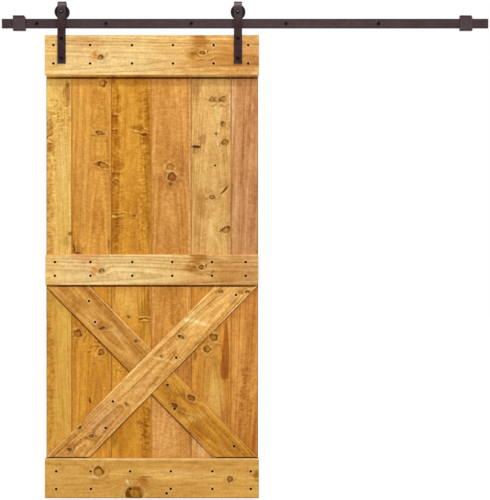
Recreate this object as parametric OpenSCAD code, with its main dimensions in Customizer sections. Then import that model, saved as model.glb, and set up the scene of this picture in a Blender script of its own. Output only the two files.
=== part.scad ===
// Sliding barn door hung from a flat wall track by two strap hangers.
// +Z is up, the door's face looks towards -Y and the wall is the plane Y = 0.
// The origin lies on the wall, on the track's centre line, halfway between its first and last bolts.

/* [Planks] */
// Height of the door
door_h = 2134; // [1900:1:2450]
// Face width of a full plank
plank_w = 184; // [140:1:230]
// Face width of the ripped plank at the left edge
first_plank_w = 116.5; // [100:0.5:180]
// Face width of the ripped plank at the right edge
last_plank_w = 126.5; // [115:0.5:180]
// Thickness of a plank
plank_t = 19; // [17:0.5:26]
// Length of a plank's tongue
tongue_l = 6; // [4:0.5:9]
// Thickness of a plank's tongue
tongue_t = 6; // [4:0.5:8]
// Clearance around a tongue in its groove
tongue_clearance = 0.2; // [0.1:0.05:0.5]
// Gap along a joint between two planks
joint_gap = 0.3; // [0.1:0.05:0.8]
// Chamfer that makes the V along a plank joint
joint_ease = 2.2; // [1:0.1:4]
// Chamfer along the back of a plank
back_ease = 1; // [0.5:0.1:2]

/* [Rails and braces] */
// Height of the top rail
top_rail_h = 184; // [150:1:220]
// Height of the middle rail
middle_rail_h = 140; // [100:1:184]
// Height of the bottom rail
bottom_rail_h = 184; // [140:1:220]
// Drop from the top of the door to the upper edge of the middle rail
middle_rail_drop = 1011; // [800:1:1150]
// Thickness of the rails and braces
rail_t = 16; // [13:0.5:22]
// How far the top and bottom rails stand past the planks on each side
rail_overhang = 4; // [0.5:0.5:10]
// How far the middle rail stands past the planks on each side
middle_rail_overhang = 1; // [0.5:0.5:6]
// Width of a brace
brace_w = 140; // [90:1:170]
// Gap at the ends of the braces
brace_gap = 2.5; // [0.5:0.1:4]
// Chamfer along the front edges of the rails, braces and outer planks
edge_ease = 2.4; // [0.5:0.1:4]

/* [Screws] */
// Diameter of a countersunk screw's head
screw_head_d = 8.8; // [6:0.1:10]
// Diameter of a screw's shank
screw_d = 4.2; // [3:0.1:5]
// Length of a screw
screw_l = 30; // [26:0.5:31]
// Length of a screw's point
screw_point_l = 5; // [3:0.5:8]
// Depth of a screw's head below the face
screw_sink = 0.6; // [0.2:0.1:1.5]
// Clearance around a screw in its hole
screw_clearance = 0.1; // [0.05:0.05:0.3]

/* [Track] */
// Length of the track
track_l = 2245; // [2100:1:2500]
// Height of the track
track_h = 44; // [38:0.5:50]
// Thickness of the track
track_t = 6; // [5:0.5:7]
// Chamfer along the edges of the track
track_ease = 0.8; // [0.3:0.1:1.5]
// Distance from the left end of the track to the left edge of the closed door
door_park = 204; // [190:1:260]
// Length of the spacers that hold the track off the wall
spacer_l = 32; // [30:0.5:50]
// Diameter of a spacer
spacer_d = 22; // [18:0.5:26]
// Chamfer at the ends of a spacer
spacer_ease = 0.8; // [0.3:0.1:1.5]
// Diameter of a wall bolt
wall_bolt_d = 8; // [6:0.5:10]
// Length of a wall bolt behind the wall plane
wall_bolt_grip = 44; // [35:1:80]
// Length of a wall bolt's point
wall_bolt_point_l = 8; // [5:0.5:12]
// How much smaller in radius a wall bolt's thread is than its shank
wall_thread_step = 0.3; // [0.1:0.05:0.5]
// Width across the flats of a wall bolt's head
wall_bolt_head_w = 13; // [12:0.5:16]
// Height of a wall bolt's head
wall_bolt_head_h = 5.3; // [4:0.1:6.5]
// Radial play of a wall bolt in the track and spacer
wall_bolt_play = 0.4; // [0.2:0.05:0.8]

/* [Stops] */
// Width of an end stop
stop_w = 57; // [40:1:75]
// Rise of a stop above the track
stop_rise = 14.5; // [9:0.5:18]
// Reach of a stop below the track
stop_drop = 11; // [6:0.5:16]
// Thickness of a stop in front of and behind the track
stop_wall = 7; // [5:0.5:8]
// Clearance of a stop around the track
stop_clearance = 0.15; // [0.05:0.05:0.3]
// Width of the cut corner of a stop
stop_cut_w = 6; // [3:0.5:12]
// Height of the cut corner of a stop
stop_cut_h = 11; // [5:0.5:14]
// Chamfer along the edges of a stop
stop_ease = 1; // [0.4:0.1:2]
// Distance from the left end of the track to the middle of the left stop
left_stop_inset = 81; // [60:1:100]
// Distance from the right end of the track to the middle of the right stop
right_stop_inset = 103; // [60:1:160]
// Diameter of a stop's set screw
set_screw_d = 6; // [5:0.5:8]
// Distance between the set screws of a stop
set_screw_pitch = 28; // [18:1:34]
// Width across the flats of a set screw's socket
set_screw_socket_w = 3; // [2:0.5:4]
// Depth of a set screw's socket
set_screw_socket_depth = 3; // [2:0.5:4]
// Clearance around a set screw
set_screw_clearance = 0.1; // [0.05:0.05:0.2]

/* [Hangers] */
// Distance from the left edge of the planks to the middle of the left hanger
left_hanger_inset = 74; // [60:1:120]
// Distance from the right edge of the planks to the middle of the right hanger
right_hanger_inset = 93; // [60:1:120]
// Gap from the lower edge of the track to the top of the door
door_gap = 32.5; // [25:0.5:45]
// Width of a hanger strap
strap_w = 38; // [32:0.5:50]
// Thickness of a hanger strap
strap_t = 6; // [4:0.5:8]
// Chamfer along the edges of a strap
strap_ease = 0.9; // [0.3:0.1:1.5]
// Length of a strap on the face of the door
strap_grip = 133; // [120:1:175]
// Distance from the lower end of a strap to its lower bolt
strap_bolt_inset = 25; // [18:0.5:30]
// Distance between the bolts of a strap
strap_bolt_pitch = 92; // [70:1:98]
// Headroom from the wheel to the bend of its strap
wheel_headroom = 8.6; // [5:0.1:15]

/* [Strap bolts] */
// Diameter of a strap bolt
strap_bolt_d = 8; // [6:0.5:10]
// Diameter of a strap bolt's domed head
strap_bolt_head_d = 18; // [16:0.5:24]
// Height of a strap bolt's domed head
strap_bolt_head_h = 4.6; // [3.5:0.1:6]
// Length of the square neck under a strap bolt's head
strap_bolt_neck_l = 4.5; // [3:0.1:5.5]
// Play of the square neck in its strap
neck_play = 0.15; // [0.05:0.05:0.4]
// Distance from the end of a strap bolt to the back of the door
strap_bolt_end_gap = 5; // [4:0.5:8]
// Radial play of a strap bolt in the wood
strap_bolt_play = 0.3; // [0.1:0.05:0.6]
// Diameter of a sleeve nut's barrel
sleeve_d = 11; // [10.5:0.1:14]
// Length of a sleeve nut's barrel
sleeve_l = 17; // [14:0.5:24]
// Diameter of a sleeve nut's head
sleeve_head_d = 19; // [17:0.5:24]
// Height of a sleeve nut's head
sleeve_head_h = 2; // [1.5:0.1:3]
// Width of the slot in a sleeve nut's head
sleeve_slot_w = 1.8; // [1.2:0.1:2.5]
// Depth of the slot in a sleeve nut's head
sleeve_slot_depth = 1.1; // [0.6:0.1:1.4]
// Radial play of a bolt in its sleeve nut
thread_play = 0.05; // [0.02:0.01:0.1]
// Radial play of a sleeve nut in the wood
sleeve_play = 0.15; // [0.05:0.05:0.4]

/* [Wheels] */
// Diameter of a wheel over its flanges
wheel_d = 68; // [60:0.5:76]
// Width of a wheel
wheel_w = 20; // [18:0.5:24]
// Depth of the wheel's groove
groove_depth = 3.3; // [2.5:0.1:5]
// Width of the groove at its floor
groove_w = 8.4; // [8:0.1:11]
// Flare of the groove on each side
groove_flare = 0.8; // [0.3:0.1:1.5]
// Gap between the groove's floor and the top of the track
tread_gap = 0.3; // [0.2:0.05:0.6]
// Chamfer on the rims of a wheel
wheel_ease = 1.2; // [0.5:0.1:2]
// Gap between a wheel and each leg of its strap
wheel_side_gap = 2; // [1.5:0.1:3]
// Inner diameter of the dish in a wheel's side
dish_inner_d = 36; // [34:0.5:40]
// Outer diameter of the dish in a wheel's side
dish_outer_d = 56; // [46:0.5:57]
// Depth of the dish in a wheel's side
dish_depth = 2; // [1:0.1:4]
// Inner diameter of the lips that hold the bearing
lip_d = 22.6; // [22.2:0.1:24]

/* [Bearings] */
// Bore of a bearing and diameter of an axle bolt
axle_d = 10; // [8:0.1:10]
// Outer diameter of a bearing
bearing_d = 26; // [25.5:0.1:28]
// Width of a bearing
bearing_w = 8; // [7.5:0.1:10]
// Diameter of a bearing's balls
ball_d = 4.76; // [4:0.01:5]
// Number of balls in a bearing
ball_count = 7; // [6:1:8]
// Diameter of the circle of balls
ball_circle_d = 18; // [17.6:0.1:18.4]
// Diameter of the inner ring's land
inner_land_d = 14.6; // [14:0.1:15]
// Diameter of the outer ring's land
outer_land_d = 21.4; // [21:0.1:22]
// Gap between a ball and its races
race_gap = 0.1; // [0.05:0.01:0.15]
// Thickness of the cage
cage_t = 1.6; // [1:0.1:2]
// Width of the cage
cage_w = 2.2; // [1.6:0.1:2.4]
// Distance from the middle of the balls to the near edge of the cage
cage_start = 0.5; // [0.2:0.1:0.7]
// Clearance of a ball in the cage
cage_clearance = 0.12; // [0.05:0.01:0.2]
// Thickness of a bearing shield
shield_t = 0.4; // [0.3:0.05:0.5]
// Distance from the bearing's side to its shield
shield_inset = 0.4; // [0.2:0.05:0.5]
// Gap between a shield and the inner ring
shield_gap = 0.3; // [0.2:0.05:0.4]
// Radial fit of the bearing on its axle and in its wheel
bearing_fit = 0.05; // [0.02:0.01:0.08]
// Diameter of the bushes beside a bearing
bush_d = 13.8; // [13:0.1:14]
// Width across the flats of an axle bolt's head and nut
axle_nut_w = 17; // [15:0.5:19]
// Height of an axle bolt's head
axle_head_h = 6.2; // [5:0.1:8]
// Height of an axle nut
axle_nut_h = 5.5; // [4:0.1:8]
// How far the end of an axle bolt stands past its nut
axle_end_l = 2.2; // [1:0.1:4]
// Chamfer at the end of an axle bolt
axle_end_ease = 1.2; // [0.5:0.1:1.5]
// Radial play of an axle bolt in its strap
axle_play = 0.15; // [0.05:0.05:0.3]

/* [Hidden] */
$fn = 64;
// Length that a cut runs past the face it enters
overrun = 1;
// Slope of the chamfer on hexagonal heads and nuts
hex_chamfer_angle = 30;
hex_sides = 6;

// Places of the wall bolts as shares of the track's length
wall_bolt_shares = [0.0717, 0.2143, 0.3894, 0.5839, 0.7741];
// Place of each column of rail screws as a share of its plank's width
top_column_shares = [0.31, 0.48, 0.53, 0.555, 0.57, 0.635];
middle_column_shares = [0.37, 0.49, 0.535, 0.535, 0.53, 0.545];
bottom_column_shares = [0.42, 0.5, 0.485, 0.5, 0.54, 0.73];
// Rows of rail screws as shares of the rail's height, from its upper edge
top_row_shares = [0.255, 0.715];
middle_row_shares = [0.25, 0.7];
bottom_row_shares = [0.325, 0.765];
// One more screw low on the bottom rail: its plank, share of the plank's width and of the rail's height
extra_screw_plank = 3;
extra_screw_shares = [0.395, 0.875];
// Brace screws as shares of the brace's half length and half width
long_brace_screw_shares = [[0.83, -0.4], [0.325, 0.37], [0.197, -0.5], [-0.355, 0.45], [-0.53, -0.43]];
upper_brace_screw_shares = [[-0.69, 0.31], [-0.55, -0.37]];
lower_brace_screw_shares = [[0.15, 0.12], [0.31, -0.66], [0.81, 0.4]];

plank_ws = [first_plank_w, plank_w, plank_w, plank_w, plank_w, last_plank_w];
plank_count = len(plank_ws);
function widths_before(i) = i == 0 ? 0 : plank_ws[i - 1] + widths_before(i - 1);
door_w = widths_before(plank_count);

// Places along the track
bolt_count = len(wall_bolt_shares);
track_x = -track_l * (wall_bolt_shares[0] + wall_bolt_shares[bolt_count - 1]) / 2;
function wall_bolt_x(i) = track_x + wall_bolt_shares[i] * track_l;
door_x = track_x + door_park;
function plank_x(i) = door_x + widths_before(i);
hanger_xs = [door_x + left_hanger_inset, door_x + door_w - right_hanger_inset];
stop_xs = [track_x + left_stop_inset, track_x + track_l - right_stop_inset];

// Places out from the wall
track_y = -spacer_l - track_t / 2;
bend_inner_r = wheel_w / 2 + wheel_side_gap;
bend_outer_r = bend_inner_r + strap_t;
bend_middle_r = bend_inner_r + strap_t / 2;
face_y = track_y - bend_inner_r;
plank_y = face_y + rail_t;
back_y = plank_y + plank_t;

// Heights
door_top = -track_h / 2 - door_gap;
door_bottom = door_top - door_h;
tread_r = wheel_d / 2 - groove_depth;
axle_z = track_h / 2 + tread_gap + tread_r;
bend_z = axle_z + wheel_d / 2 + wheel_headroom - bend_inner_r;
strap_foot_z = door_top - strap_grip;
middle_rail_top = door_top - middle_rail_drop;
bottom_rail_top = door_bottom + bottom_rail_h;
panel_top = middle_rail_top - middle_rail_h - brace_gap;
panel_bottom = bottom_rail_top + brace_gap;

// The braces run corner to corner in the lower panel
panel_h = panel_top - panel_bottom;
panel_x = door_x + door_w / 2;
panel_z = (panel_top + panel_bottom) / 2;
brace_reach = norm([door_w, panel_h]) / 2;
brace_angle = atan(panel_h / door_w) + asin(brace_w / (2 * brace_reach));
brace_stock_l = 2 * (brace_reach + brace_w);

// Screw places on the door's face
function rail_screws(columns, rows, rail_top, rail_h) = [
    for (i = [0:plank_count - 1])
        for (row = rows)
            [plank_x(i) + columns[i] * plank_ws[i], rail_top - row * rail_h]
];
function brace_screws_at(places, angle) = [
    for (p = places)
        let (along = p[0] * brace_reach, across = p[1] * brace_w / 2)
            [
                panel_x + along * cos(angle) - across * sin(angle),
                panel_z + along * sin(angle) + across * cos(angle)
            ]
];
top_screws = rail_screws(top_column_shares, top_row_shares, door_top, top_rail_h);
middle_screws = rail_screws(middle_column_shares, middle_row_shares, middle_rail_top, middle_rail_h);
extra_screw = [
    plank_x(extra_screw_plank) + extra_screw_shares[0] * plank_ws[extra_screw_plank],
    bottom_rail_top - extra_screw_shares[1] * bottom_rail_h
];
bottom_screws = concat(
    rail_screws(bottom_column_shares, bottom_row_shares, bottom_rail_top, bottom_rail_h),
    [extra_screw]
);
long_brace_screws = brace_screws_at(long_brace_screw_shares, brace_angle);
upper_brace_screws = brace_screws_at(upper_brace_screw_shares, -brace_angle);
lower_brace_screws = brace_screws_at(lower_brace_screw_shares, -brace_angle);
brace_screw_places = concat(long_brace_screws, upper_brace_screws, lower_brace_screws);
all_screws = concat(top_screws, middle_screws, bottom_screws, brace_screw_places);

// Strap bolt places on the door's face
function strap_bolts(side) = [
    for (k = [0, 1])
        [hanger_xs[side], strap_foot_z + strap_bolt_inset + k * strap_bolt_pitch]
];
all_strap_bolts = concat(strap_bolts(0), strap_bolts(1));

function near_plank(places, i, reach) = [
    for (p = places)
        if (p[0] > plank_x(i) - reach && p[0] < plank_x(i) + plank_ws[i] + reach)
            p
];

strap_bolt_l = strap_t + rail_t + plank_t - strap_bolt_end_gap;
dome_r = (pow(strap_bolt_head_d / 2, 2) + pow(strap_bolt_head_h, 2)) / (2 * strap_bolt_head_h);
bush_l = bend_inner_r - bearing_w / 2;
stop_depth = track_t + 2 * stop_wall;
stop_h = track_h + stop_rise + stop_drop;
stop_z = (stop_rise - stop_drop) / 2;
wall_shank_l = track_t + spacer_l;
wall_thread_r = wall_bolt_d / 2 - wall_thread_step;

bronze = "#463a3a";
black = "#1d1a1a";
steel = "#a9a9ad";
plank_colours = ["#e2b860", "#d89a40", "#d49a3a", "#d9984a", "#dfae63", "#c98a55"];
rail_colour = "#e4b66c";
bottom_rail_colour = "#d09c4e";
long_brace_colour = "#ddaa5c";
upper_brace_colour = "#d0934a";
lower_brace_colour = "#c5822e";

// A plate section with all four corners chamfered
module eased_plate(w, t, ease) {
    polygon([
        [-w / 2 + ease, -t / 2], [w / 2 - ease, -t / 2],
        [w / 2, -t / 2 + ease], [w / 2, t / 2 - ease],
        [w / 2 - ease, t / 2], [-w / 2 + ease, t / 2],
        [-w / 2, t / 2 - ease], [-w / 2, -t / 2 + ease]
    ]);
}

// A round plate or bar with both rims chamfered, from z = 0 up
module eased_disc(d, h, ease) {
    rotate_extrude()
        polygon([
            [0, 0], [d / 2 - ease, 0], [d / 2, ease],
            [d / 2, h - ease], [d / 2 - ease, h], [0, h]
        ]);
}

// A hexagon with its upper corners turned off, from z = 0 up
module hex_head(w, h) {
    corner_r = w / (2 * cos(hex_chamfer_angle)) + overrun;
    intersection() {
        cylinder(d = w / cos(180 / hex_sides), h = h, $fn = hex_sides);
        rotate_extrude()
            polygon([
                [0, -overrun], [corner_r, -overrun],
                [corner_r, h - (corner_r - w / 2) * tan(hex_chamfer_angle)],
                [w / 2, h], [0, h]
            ]);
    }
}

// Turns a shape made along +Z to point along +Y, into the door
module into_door() {
    rotate([-90, 0, 0]) children();
}

// Turns a shape made along +Z to point along -Y, out of the door
module out_of_door() {
    rotate([90, 0, 0]) children();
}

// Lays a section whose x is depth and whose y is height along the X axis
module along_track() {
    rotate([90, 0, 90]) children();
}

// A place on the face of the door, with +Z into the door
module at_face(place) {
    translate([place[0], face_y, place[1]]) into_door() children();
}

// The middle of a wheel, with +Z towards the wall
module at_axle(side) {
    translate([hanger_xs[side], track_y, axle_z]) into_door() children();
}

// The flat bar that the wheels run on
module track() {
    color(bronze)
    difference() {
        translate([track_x, track_y, 0])
            along_track() linear_extrude(track_l) eased_plate(track_t, track_h, track_ease);
        for (i = [0:bolt_count - 1])
            translate([wall_bolt_x(i), track_y - track_t / 2 - overrun, 0])
                into_door() cylinder(r = wall_bolt_d / 2 + wall_bolt_play, h = track_t + 2 * overrun);
    }
}

// A turned spacer between the wall and the track
module wall_spacer(i) {
    color(bronze)
    translate([wall_bolt_x(i), 0, 0])
        out_of_door()
        difference() {
            eased_disc(spacer_d, spacer_l, spacer_ease);
            translate([0, 0, -overrun])
                cylinder(r = wall_bolt_d / 2 + wall_bolt_play, h = spacer_l + 2 * overrun);
        }
}

// A lag bolt through the track and its spacer, with its thread in the wall
module wall_bolt(i) {
    wall_bolt_l = wall_shank_l + wall_bolt_grip;
    color(black)
    translate([wall_bolt_x(i), track_y - track_t / 2, 0]) {
        out_of_door() hex_head(wall_bolt_head_w, wall_bolt_head_h);
        into_door()
            rotate_extrude()
            polygon([
                [0, -wall_bolt_head_h / 2], [wall_bolt_d / 2, -wall_bolt_head_h / 2],
                [wall_bolt_d / 2, wall_shank_l], [wall_thread_r, wall_shank_l],
                [wall_thread_r, wall_bolt_l - wall_bolt_point_l], [0, wall_bolt_l]
            ]);
    }
}

// The front outline of a stop, with one corner cut away
module stop_outline() {
    polygon([
        [-stop_w / 2, -stop_h / 2], [stop_w / 2 - stop_ease, -stop_h / 2],
        [stop_w / 2, -stop_h / 2 + stop_ease], [stop_w / 2, stop_h / 2 - stop_cut_h],
        [stop_w / 2 - stop_cut_w, stop_h / 2], [-stop_w / 2, stop_h / 2]
    ]);
}

function set_screw_xs(side) = [stop_xs[side] - set_screw_pitch / 2, stop_xs[side] + set_screw_pitch / 2];

// A slotted block that slides over the end of the track
module stop_block(side) {
    color(bronze)
    difference() {
        translate([stop_xs[side], track_y, stop_z])
            intersection() {
                out_of_door() linear_extrude(stop_depth, center = true) stop_outline();
                along_track()
                    linear_extrude(stop_w + 2 * overrun, center = true)
                    eased_plate(stop_depth, stop_h, stop_ease);
            }
        translate([stop_xs[side], track_y, 0])
            cube(
                [stop_w + 2 * overrun, track_t + 2 * stop_clearance, track_h + 2 * stop_clearance],
                center = true
            );
        for (x = set_screw_xs(side))
            translate([x, track_y, 0])
                into_door()
                cylinder(r = set_screw_d / 2 + set_screw_clearance, h = stop_depth / 2 + overrun);
    }
}

// Socket set screws that clamp the stops from behind
module stop_set_screws() {
    color(black)
    for (side = [0, 1])
        for (x = set_screw_xs(side))
            translate([x, track_y + track_t / 2, 0])
                into_door()
                difference() {
                    cylinder(d = set_screw_d, h = stop_wall);
                    translate([0, 0, stop_wall - set_screw_socket_depth])
                        cylinder(
                            d = set_screw_socket_w / cos(180 / hex_sides),
                            h = set_screw_socket_depth + overrun,
                            $fn = hex_sides
                        );
                }
}

// The space that a countersunk screw takes in the wood, from the face in
module screw_hole() {
    head_r = screw_head_d / 2 + screw_clearance;
    shank_r = screw_d / 2 + screw_clearance;
    rotate_extrude()
        polygon([
            [0, -overrun], [head_r, -overrun], [head_r, screw_sink],
            [shank_r, screw_sink + head_r - shank_r],
            [shank_r, screw_sink + screw_l + screw_clearance],
            [0, screw_sink + screw_l + screw_clearance]
        ]);
}

// A countersunk wood screw, from the face in
module screw() {
    head_r = screw_head_d / 2;
    shank_r = screw_d / 2;
    rotate_extrude()
        polygon([
            [0, screw_sink], [head_r, screw_sink],
            [shank_r, screw_sink + head_r - shank_r],
            [shank_r, screw_sink + screw_l - screw_point_l], [0, screw_sink + screw_l]
        ]);
}

module screws(places) {
    color(black)
    for (p = places)
        at_face(p) screw();
}

module top_rail_screws() {
    screws(top_screws);
}

module middle_rail_screws() {
    screws(middle_screws);
}

module bottom_rail_screws() {
    screws(bottom_screws);
}

module brace_screws() {
    screws(brace_screw_places);
}

// A plank's section from its left joint, with its front at y = 0
module plank_section(w, grooved, tongued) {
    left_ease = grooved ? joint_ease : edge_ease;
    right_ease = tongued ? joint_ease : edge_ease;
    right = tongued ? w - joint_gap : w;
    tongue_y = (plank_t - tongue_t) / 2;
    difference() {
        union() {
            polygon([
                [left_ease, 0], [right - right_ease, 0],
                [right, right_ease], [right, plank_t - back_ease],
                [right - back_ease, plank_t], [back_ease, plank_t],
                [0, plank_t - back_ease], [0, left_ease]
            ]);
            if (tongued)
                translate([w - tongue_l, tongue_y]) square([2 * tongue_l, tongue_t]);
        }
        if (grooved)
            translate([-overrun, tongue_y - tongue_clearance])
                square([overrun + tongue_l + tongue_clearance, tongue_t + 2 * tongue_clearance]);
    }
}

// A tongued and grooved plank, drilled for its screws and bolts
module plank(i) {
    screw_reach = screw_d + tongue_l;
    bolt_reach = sleeve_d + tongue_l;
    color(plank_colours[i])
    difference() {
        translate([plank_x(i), plank_y, door_bottom])
            linear_extrude(door_h) plank_section(plank_ws[i], i > 0, i < plank_count - 1);
        for (p = near_plank(all_screws, i, screw_reach))
            at_face(p) screw_hole();
        for (p = near_plank(all_strap_bolts, i, bolt_reach))
            at_face(p)
                translate([0, 0, rail_t - overrun])
                cylinder(r = sleeve_d / 2 + sleeve_play, h = plank_t + 2 * overrun);
    }
}

// A board's section with its front at x = 0 and both front edges chamfered
module board_section(h) {
    polygon([
        [edge_ease, -h / 2], [rail_t, -h / 2], [rail_t, h / 2], [edge_ease, h / 2],
        [0, h / 2 - edge_ease], [0, -h / 2 + edge_ease]
    ]);
}

// A rail across the planks, drilled for its screws
module rail(top, h, overhang, places) {
    difference() {
        translate([door_x - overhang, face_y, top - h / 2])
            along_track() linear_extrude(door_w + 2 * overhang) board_section(h);
        for (p = places)
            at_face(p) screw_hole();
    }
}

module top_rail() {
    color(rail_colour)
    difference() {
        rail(door_top, top_rail_h, rail_overhang, top_screws);
        for (p = all_strap_bolts)
            at_face(p)
                translate([0, 0, -overrun])
                cylinder(r = strap_bolt_d / 2 + strap_bolt_play, h = rail_t + 2 * overrun);
    }
}

module middle_rail() {
    color(rail_colour)
        rail(middle_rail_top, middle_rail_h, middle_rail_overhang, middle_screws);
}

module bottom_rail() {
    color(bottom_rail_colour)
        rail(bottom_rail_top, bottom_rail_h, rail_overhang, bottom_screws);
}

// Brace stock that crosses the lower panel, trimmed by its edges
module brace_stock(angle) {
    intersection() {
        translate([panel_x, face_y, panel_z])
            rotate([0, -angle, 0])
            along_track() linear_extrude(brace_stock_l, center = true) board_section(brace_w);
        translate([door_x, face_y - overrun, panel_bottom])
            cube([door_w, rail_t + 2 * overrun, panel_h]);
    }
}

// All that lies above (up = 1) or below (up = -1) the long brace and its gap
module clear_of_long_brace(up) {
    edge = brace_w / 2 + brace_gap;
    translate([panel_x, face_y - overrun, panel_z])
        rotate([0, -brace_angle, 0])
        translate([-brace_stock_l / 2, 0, up > 0 ? edge : -edge - brace_stock_l])
        cube([brace_stock_l, rail_t + 2 * overrun, brace_stock_l]);
}

module long_brace() {
    color(long_brace_colour)
    difference() {
        brace_stock(brace_angle);
        for (p = long_brace_screws)
            at_face(p) screw_hole();
    }
}

// Half of the other diagonal, butted against the long brace
module half_brace(up, places) {
    difference() {
        intersection() {
            brace_stock(-brace_angle);
            clear_of_long_brace(up);
        }
        for (p = places)
            at_face(p) screw_hole();
    }
}

module upper_brace() {
    color(upper_brace_colour) half_brace(1, upper_brace_screws);
}

module lower_brace() {
    color(lower_brace_colour) half_brace(-1, lower_brace_screws);
}

// Flat bar bent over the wheel, long leg on the door and short leg behind
module strap(side) {
    neck_hole_w = strap_bolt_d + 2 * neck_play;
    color(bronze)
    difference() {
        translate([hanger_xs[side], track_y, 0]) {
            translate([0, -bend_middle_r, strap_foot_z])
                linear_extrude(bend_z - strap_foot_z) eased_plate(strap_w, strap_t, strap_ease);
            translate([0, 0, bend_z])
                along_track()
                rotate_extrude(angle = 180)
                translate([bend_middle_r, 0]) eased_plate(strap_t, strap_w, strap_ease);
            translate([0, bend_middle_r, axle_z])
                linear_extrude(bend_z - axle_z) eased_plate(strap_w, strap_t, strap_ease);
            translate([0, bend_inner_r, axle_z])
                into_door() eased_disc(strap_w, strap_t, strap_ease);
        }
        at_axle(side)
            cylinder(r = axle_d / 2 + axle_play, h = 2 * (bend_outer_r + overrun), center = true);
        for (p = strap_bolts(side))
            translate([p[0], face_y - strap_t / 2, p[1]])
                cube([neck_hole_w, strap_t + 2 * overrun, neck_hole_w], center = true);
    }
}

// Domed bolt with a square neck, from the strap's front in
module strap_bolt() {
    translate([0, 0, -strap_t]) {
        intersection() {
            translate([0, 0, dome_r - strap_bolt_head_h]) sphere(r = dome_r);
            translate([0, 0, -strap_bolt_head_h])
                cylinder(d = strap_bolt_head_d, h = strap_bolt_head_h);
        }
        translate([-strap_bolt_d / 2, -strap_bolt_d / 2, -strap_bolt_head_h / 2])
            cube([strap_bolt_d, strap_bolt_d, strap_bolt_head_h / 2 + strap_bolt_neck_l]);
        cylinder(d = strap_bolt_d, h = strap_bolt_l);
    }
}

// Low slotted nut whose barrel lies in the planks
module sleeve_nut() {
    translate([0, 0, rail_t + plank_t])
        difference() {
            union() {
                cylinder(d = sleeve_head_d, h = sleeve_head_h);
                translate([0, 0, -sleeve_l]) cylinder(d = sleeve_d, h = sleeve_l + sleeve_head_h / 2);
            }
            translate([0, 0, -sleeve_l - overrun])
                cylinder(r = strap_bolt_d / 2 + thread_play, h = sleeve_l + overrun);
            translate([
                -sleeve_head_d / 2 - overrun,
                -sleeve_slot_w / 2,
                sleeve_head_h - sleeve_slot_depth
            ])
                cube([sleeve_head_d + 2 * overrun, sleeve_slot_w, sleeve_slot_depth + overrun]);
        }
}

module side_strap_bolts(side) {
    color(black)
    for (p = strap_bolts(side))
        at_face(p) strap_bolt();
}

module side_sleeve_nuts(side) {
    color(black)
    for (p = strap_bolts(side))
        at_face(p) sleeve_nut();
}

// Hexagon bolt that carries a wheel, its head behind and its end in front
module axle_bolt(side) {
    front_l = bend_outer_r + axle_nut_h + axle_end_l;
    color(black)
    at_axle(side) {
        translate([0, 0, bend_outer_r]) hex_head(axle_nut_w, axle_head_h);
        rotate_extrude()
            polygon([
                [0, -front_l], [axle_d / 2 - axle_end_ease, -front_l],
                [axle_d / 2, -front_l + axle_end_ease],
                [axle_d / 2, bend_outer_r + axle_head_h / 2], [0, bend_outer_r + axle_head_h / 2]
            ]);
    }
}

module axle_nut(side) {
    color(black)
    at_axle(side)
        translate([0, 0, -bend_outer_r])
        rotate([180, 0, 0])
        difference() {
            hex_head(axle_nut_w, axle_nut_h);
            translate([0, 0, -overrun])
                cylinder(r = axle_d / 2 + thread_play, h = axle_nut_h + 2 * overrun);
        }
}

// Distance bushes between the bearing and the legs of the strap
module bushes(side) {
    color(steel)
    at_axle(side)
        for (turn = [0, 180])
            rotate([turn, 0, 0])
                translate([0, 0, bearing_w / 2])
                difference() {
                    cylinder(d = bush_d, h = bush_l);
                    translate([0, 0, -overrun])
                        cylinder(r = axle_d / 2 + axle_play, h = bush_l + 2 * overrun);
                }
}

// A bearing ring between two radii, with its race cut by the ball's path
module bearing_ring(inner_r, outer_r) {
    rotate_extrude()
        difference() {
            translate([inner_r, -bearing_w / 2]) square([outer_r - inner_r, bearing_w]);
            translate([ball_circle_d / 2, 0]) circle(r = ball_d / 2 + race_gap);
        }
}

module inner_ring(side) {
    color(steel)
        at_axle(side) bearing_ring(axle_d / 2 + bearing_fit, inner_land_d / 2);
}

module outer_ring(side) {
    color(steel)
        at_axle(side) bearing_ring(outer_land_d / 2, bearing_d / 2 - bearing_fit);
}

// Thin washers that close both sides of the bearing
module shields(side) {
    inner_r = inner_land_d / 2 + shield_gap;
    outer_r = outer_land_d / 2 - bearing_fit;
    color(steel)
    at_axle(side)
        for (turn = [0, 180])
            rotate([turn, 0, 0])
                translate([0, 0, bearing_w / 2 - shield_inset - shield_t])
                rotate_extrude()
                translate([inner_r, 0]) square([outer_r - inner_r, shield_t]);
}

module ball_set(d) {
    for (k = [0:ball_count - 1])
        rotate([0, 0, 360 * k / ball_count])
            translate([ball_circle_d / 2, 0, 0]) sphere(d = d);
}

module balls(side) {
    color(steel)
        at_axle(side) ball_set(ball_d);
}

// Crown cage that keeps the balls apart
module cage(side) {
    color(steel)
    at_axle(side)
        difference() {
            rotate_extrude()
                translate([(ball_circle_d - cage_t) / 2, cage_start]) square([cage_t, cage_w]);
            ball_set(ball_d + 2 * cage_clearance);
        }
}

// Half of the wheel's section, from its bearing seat round to the groove's floor
wheel_half_section = [
    [bearing_d / 2, -bearing_w / 2], [lip_d / 2, -bearing_w / 2],
    [lip_d / 2, -wheel_w / 2], [dish_inner_d / 2, -wheel_w / 2],
    [dish_inner_d / 2 + dish_depth, -wheel_w / 2 + dish_depth],
    [dish_outer_d / 2 - dish_depth, -wheel_w / 2 + dish_depth],
    [dish_outer_d / 2, -wheel_w / 2], [wheel_d / 2 - wheel_ease, -wheel_w / 2],
    [wheel_d / 2, -wheel_w / 2 + wheel_ease], [wheel_d / 2, -groove_w / 2 - groove_flare],
    [tread_r, -groove_w / 2]
];
function mirrored(points) = [
    for (k = [len(points) - 1:-1:0])
        [points[k][0], -points[k][1]]
];

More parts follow.
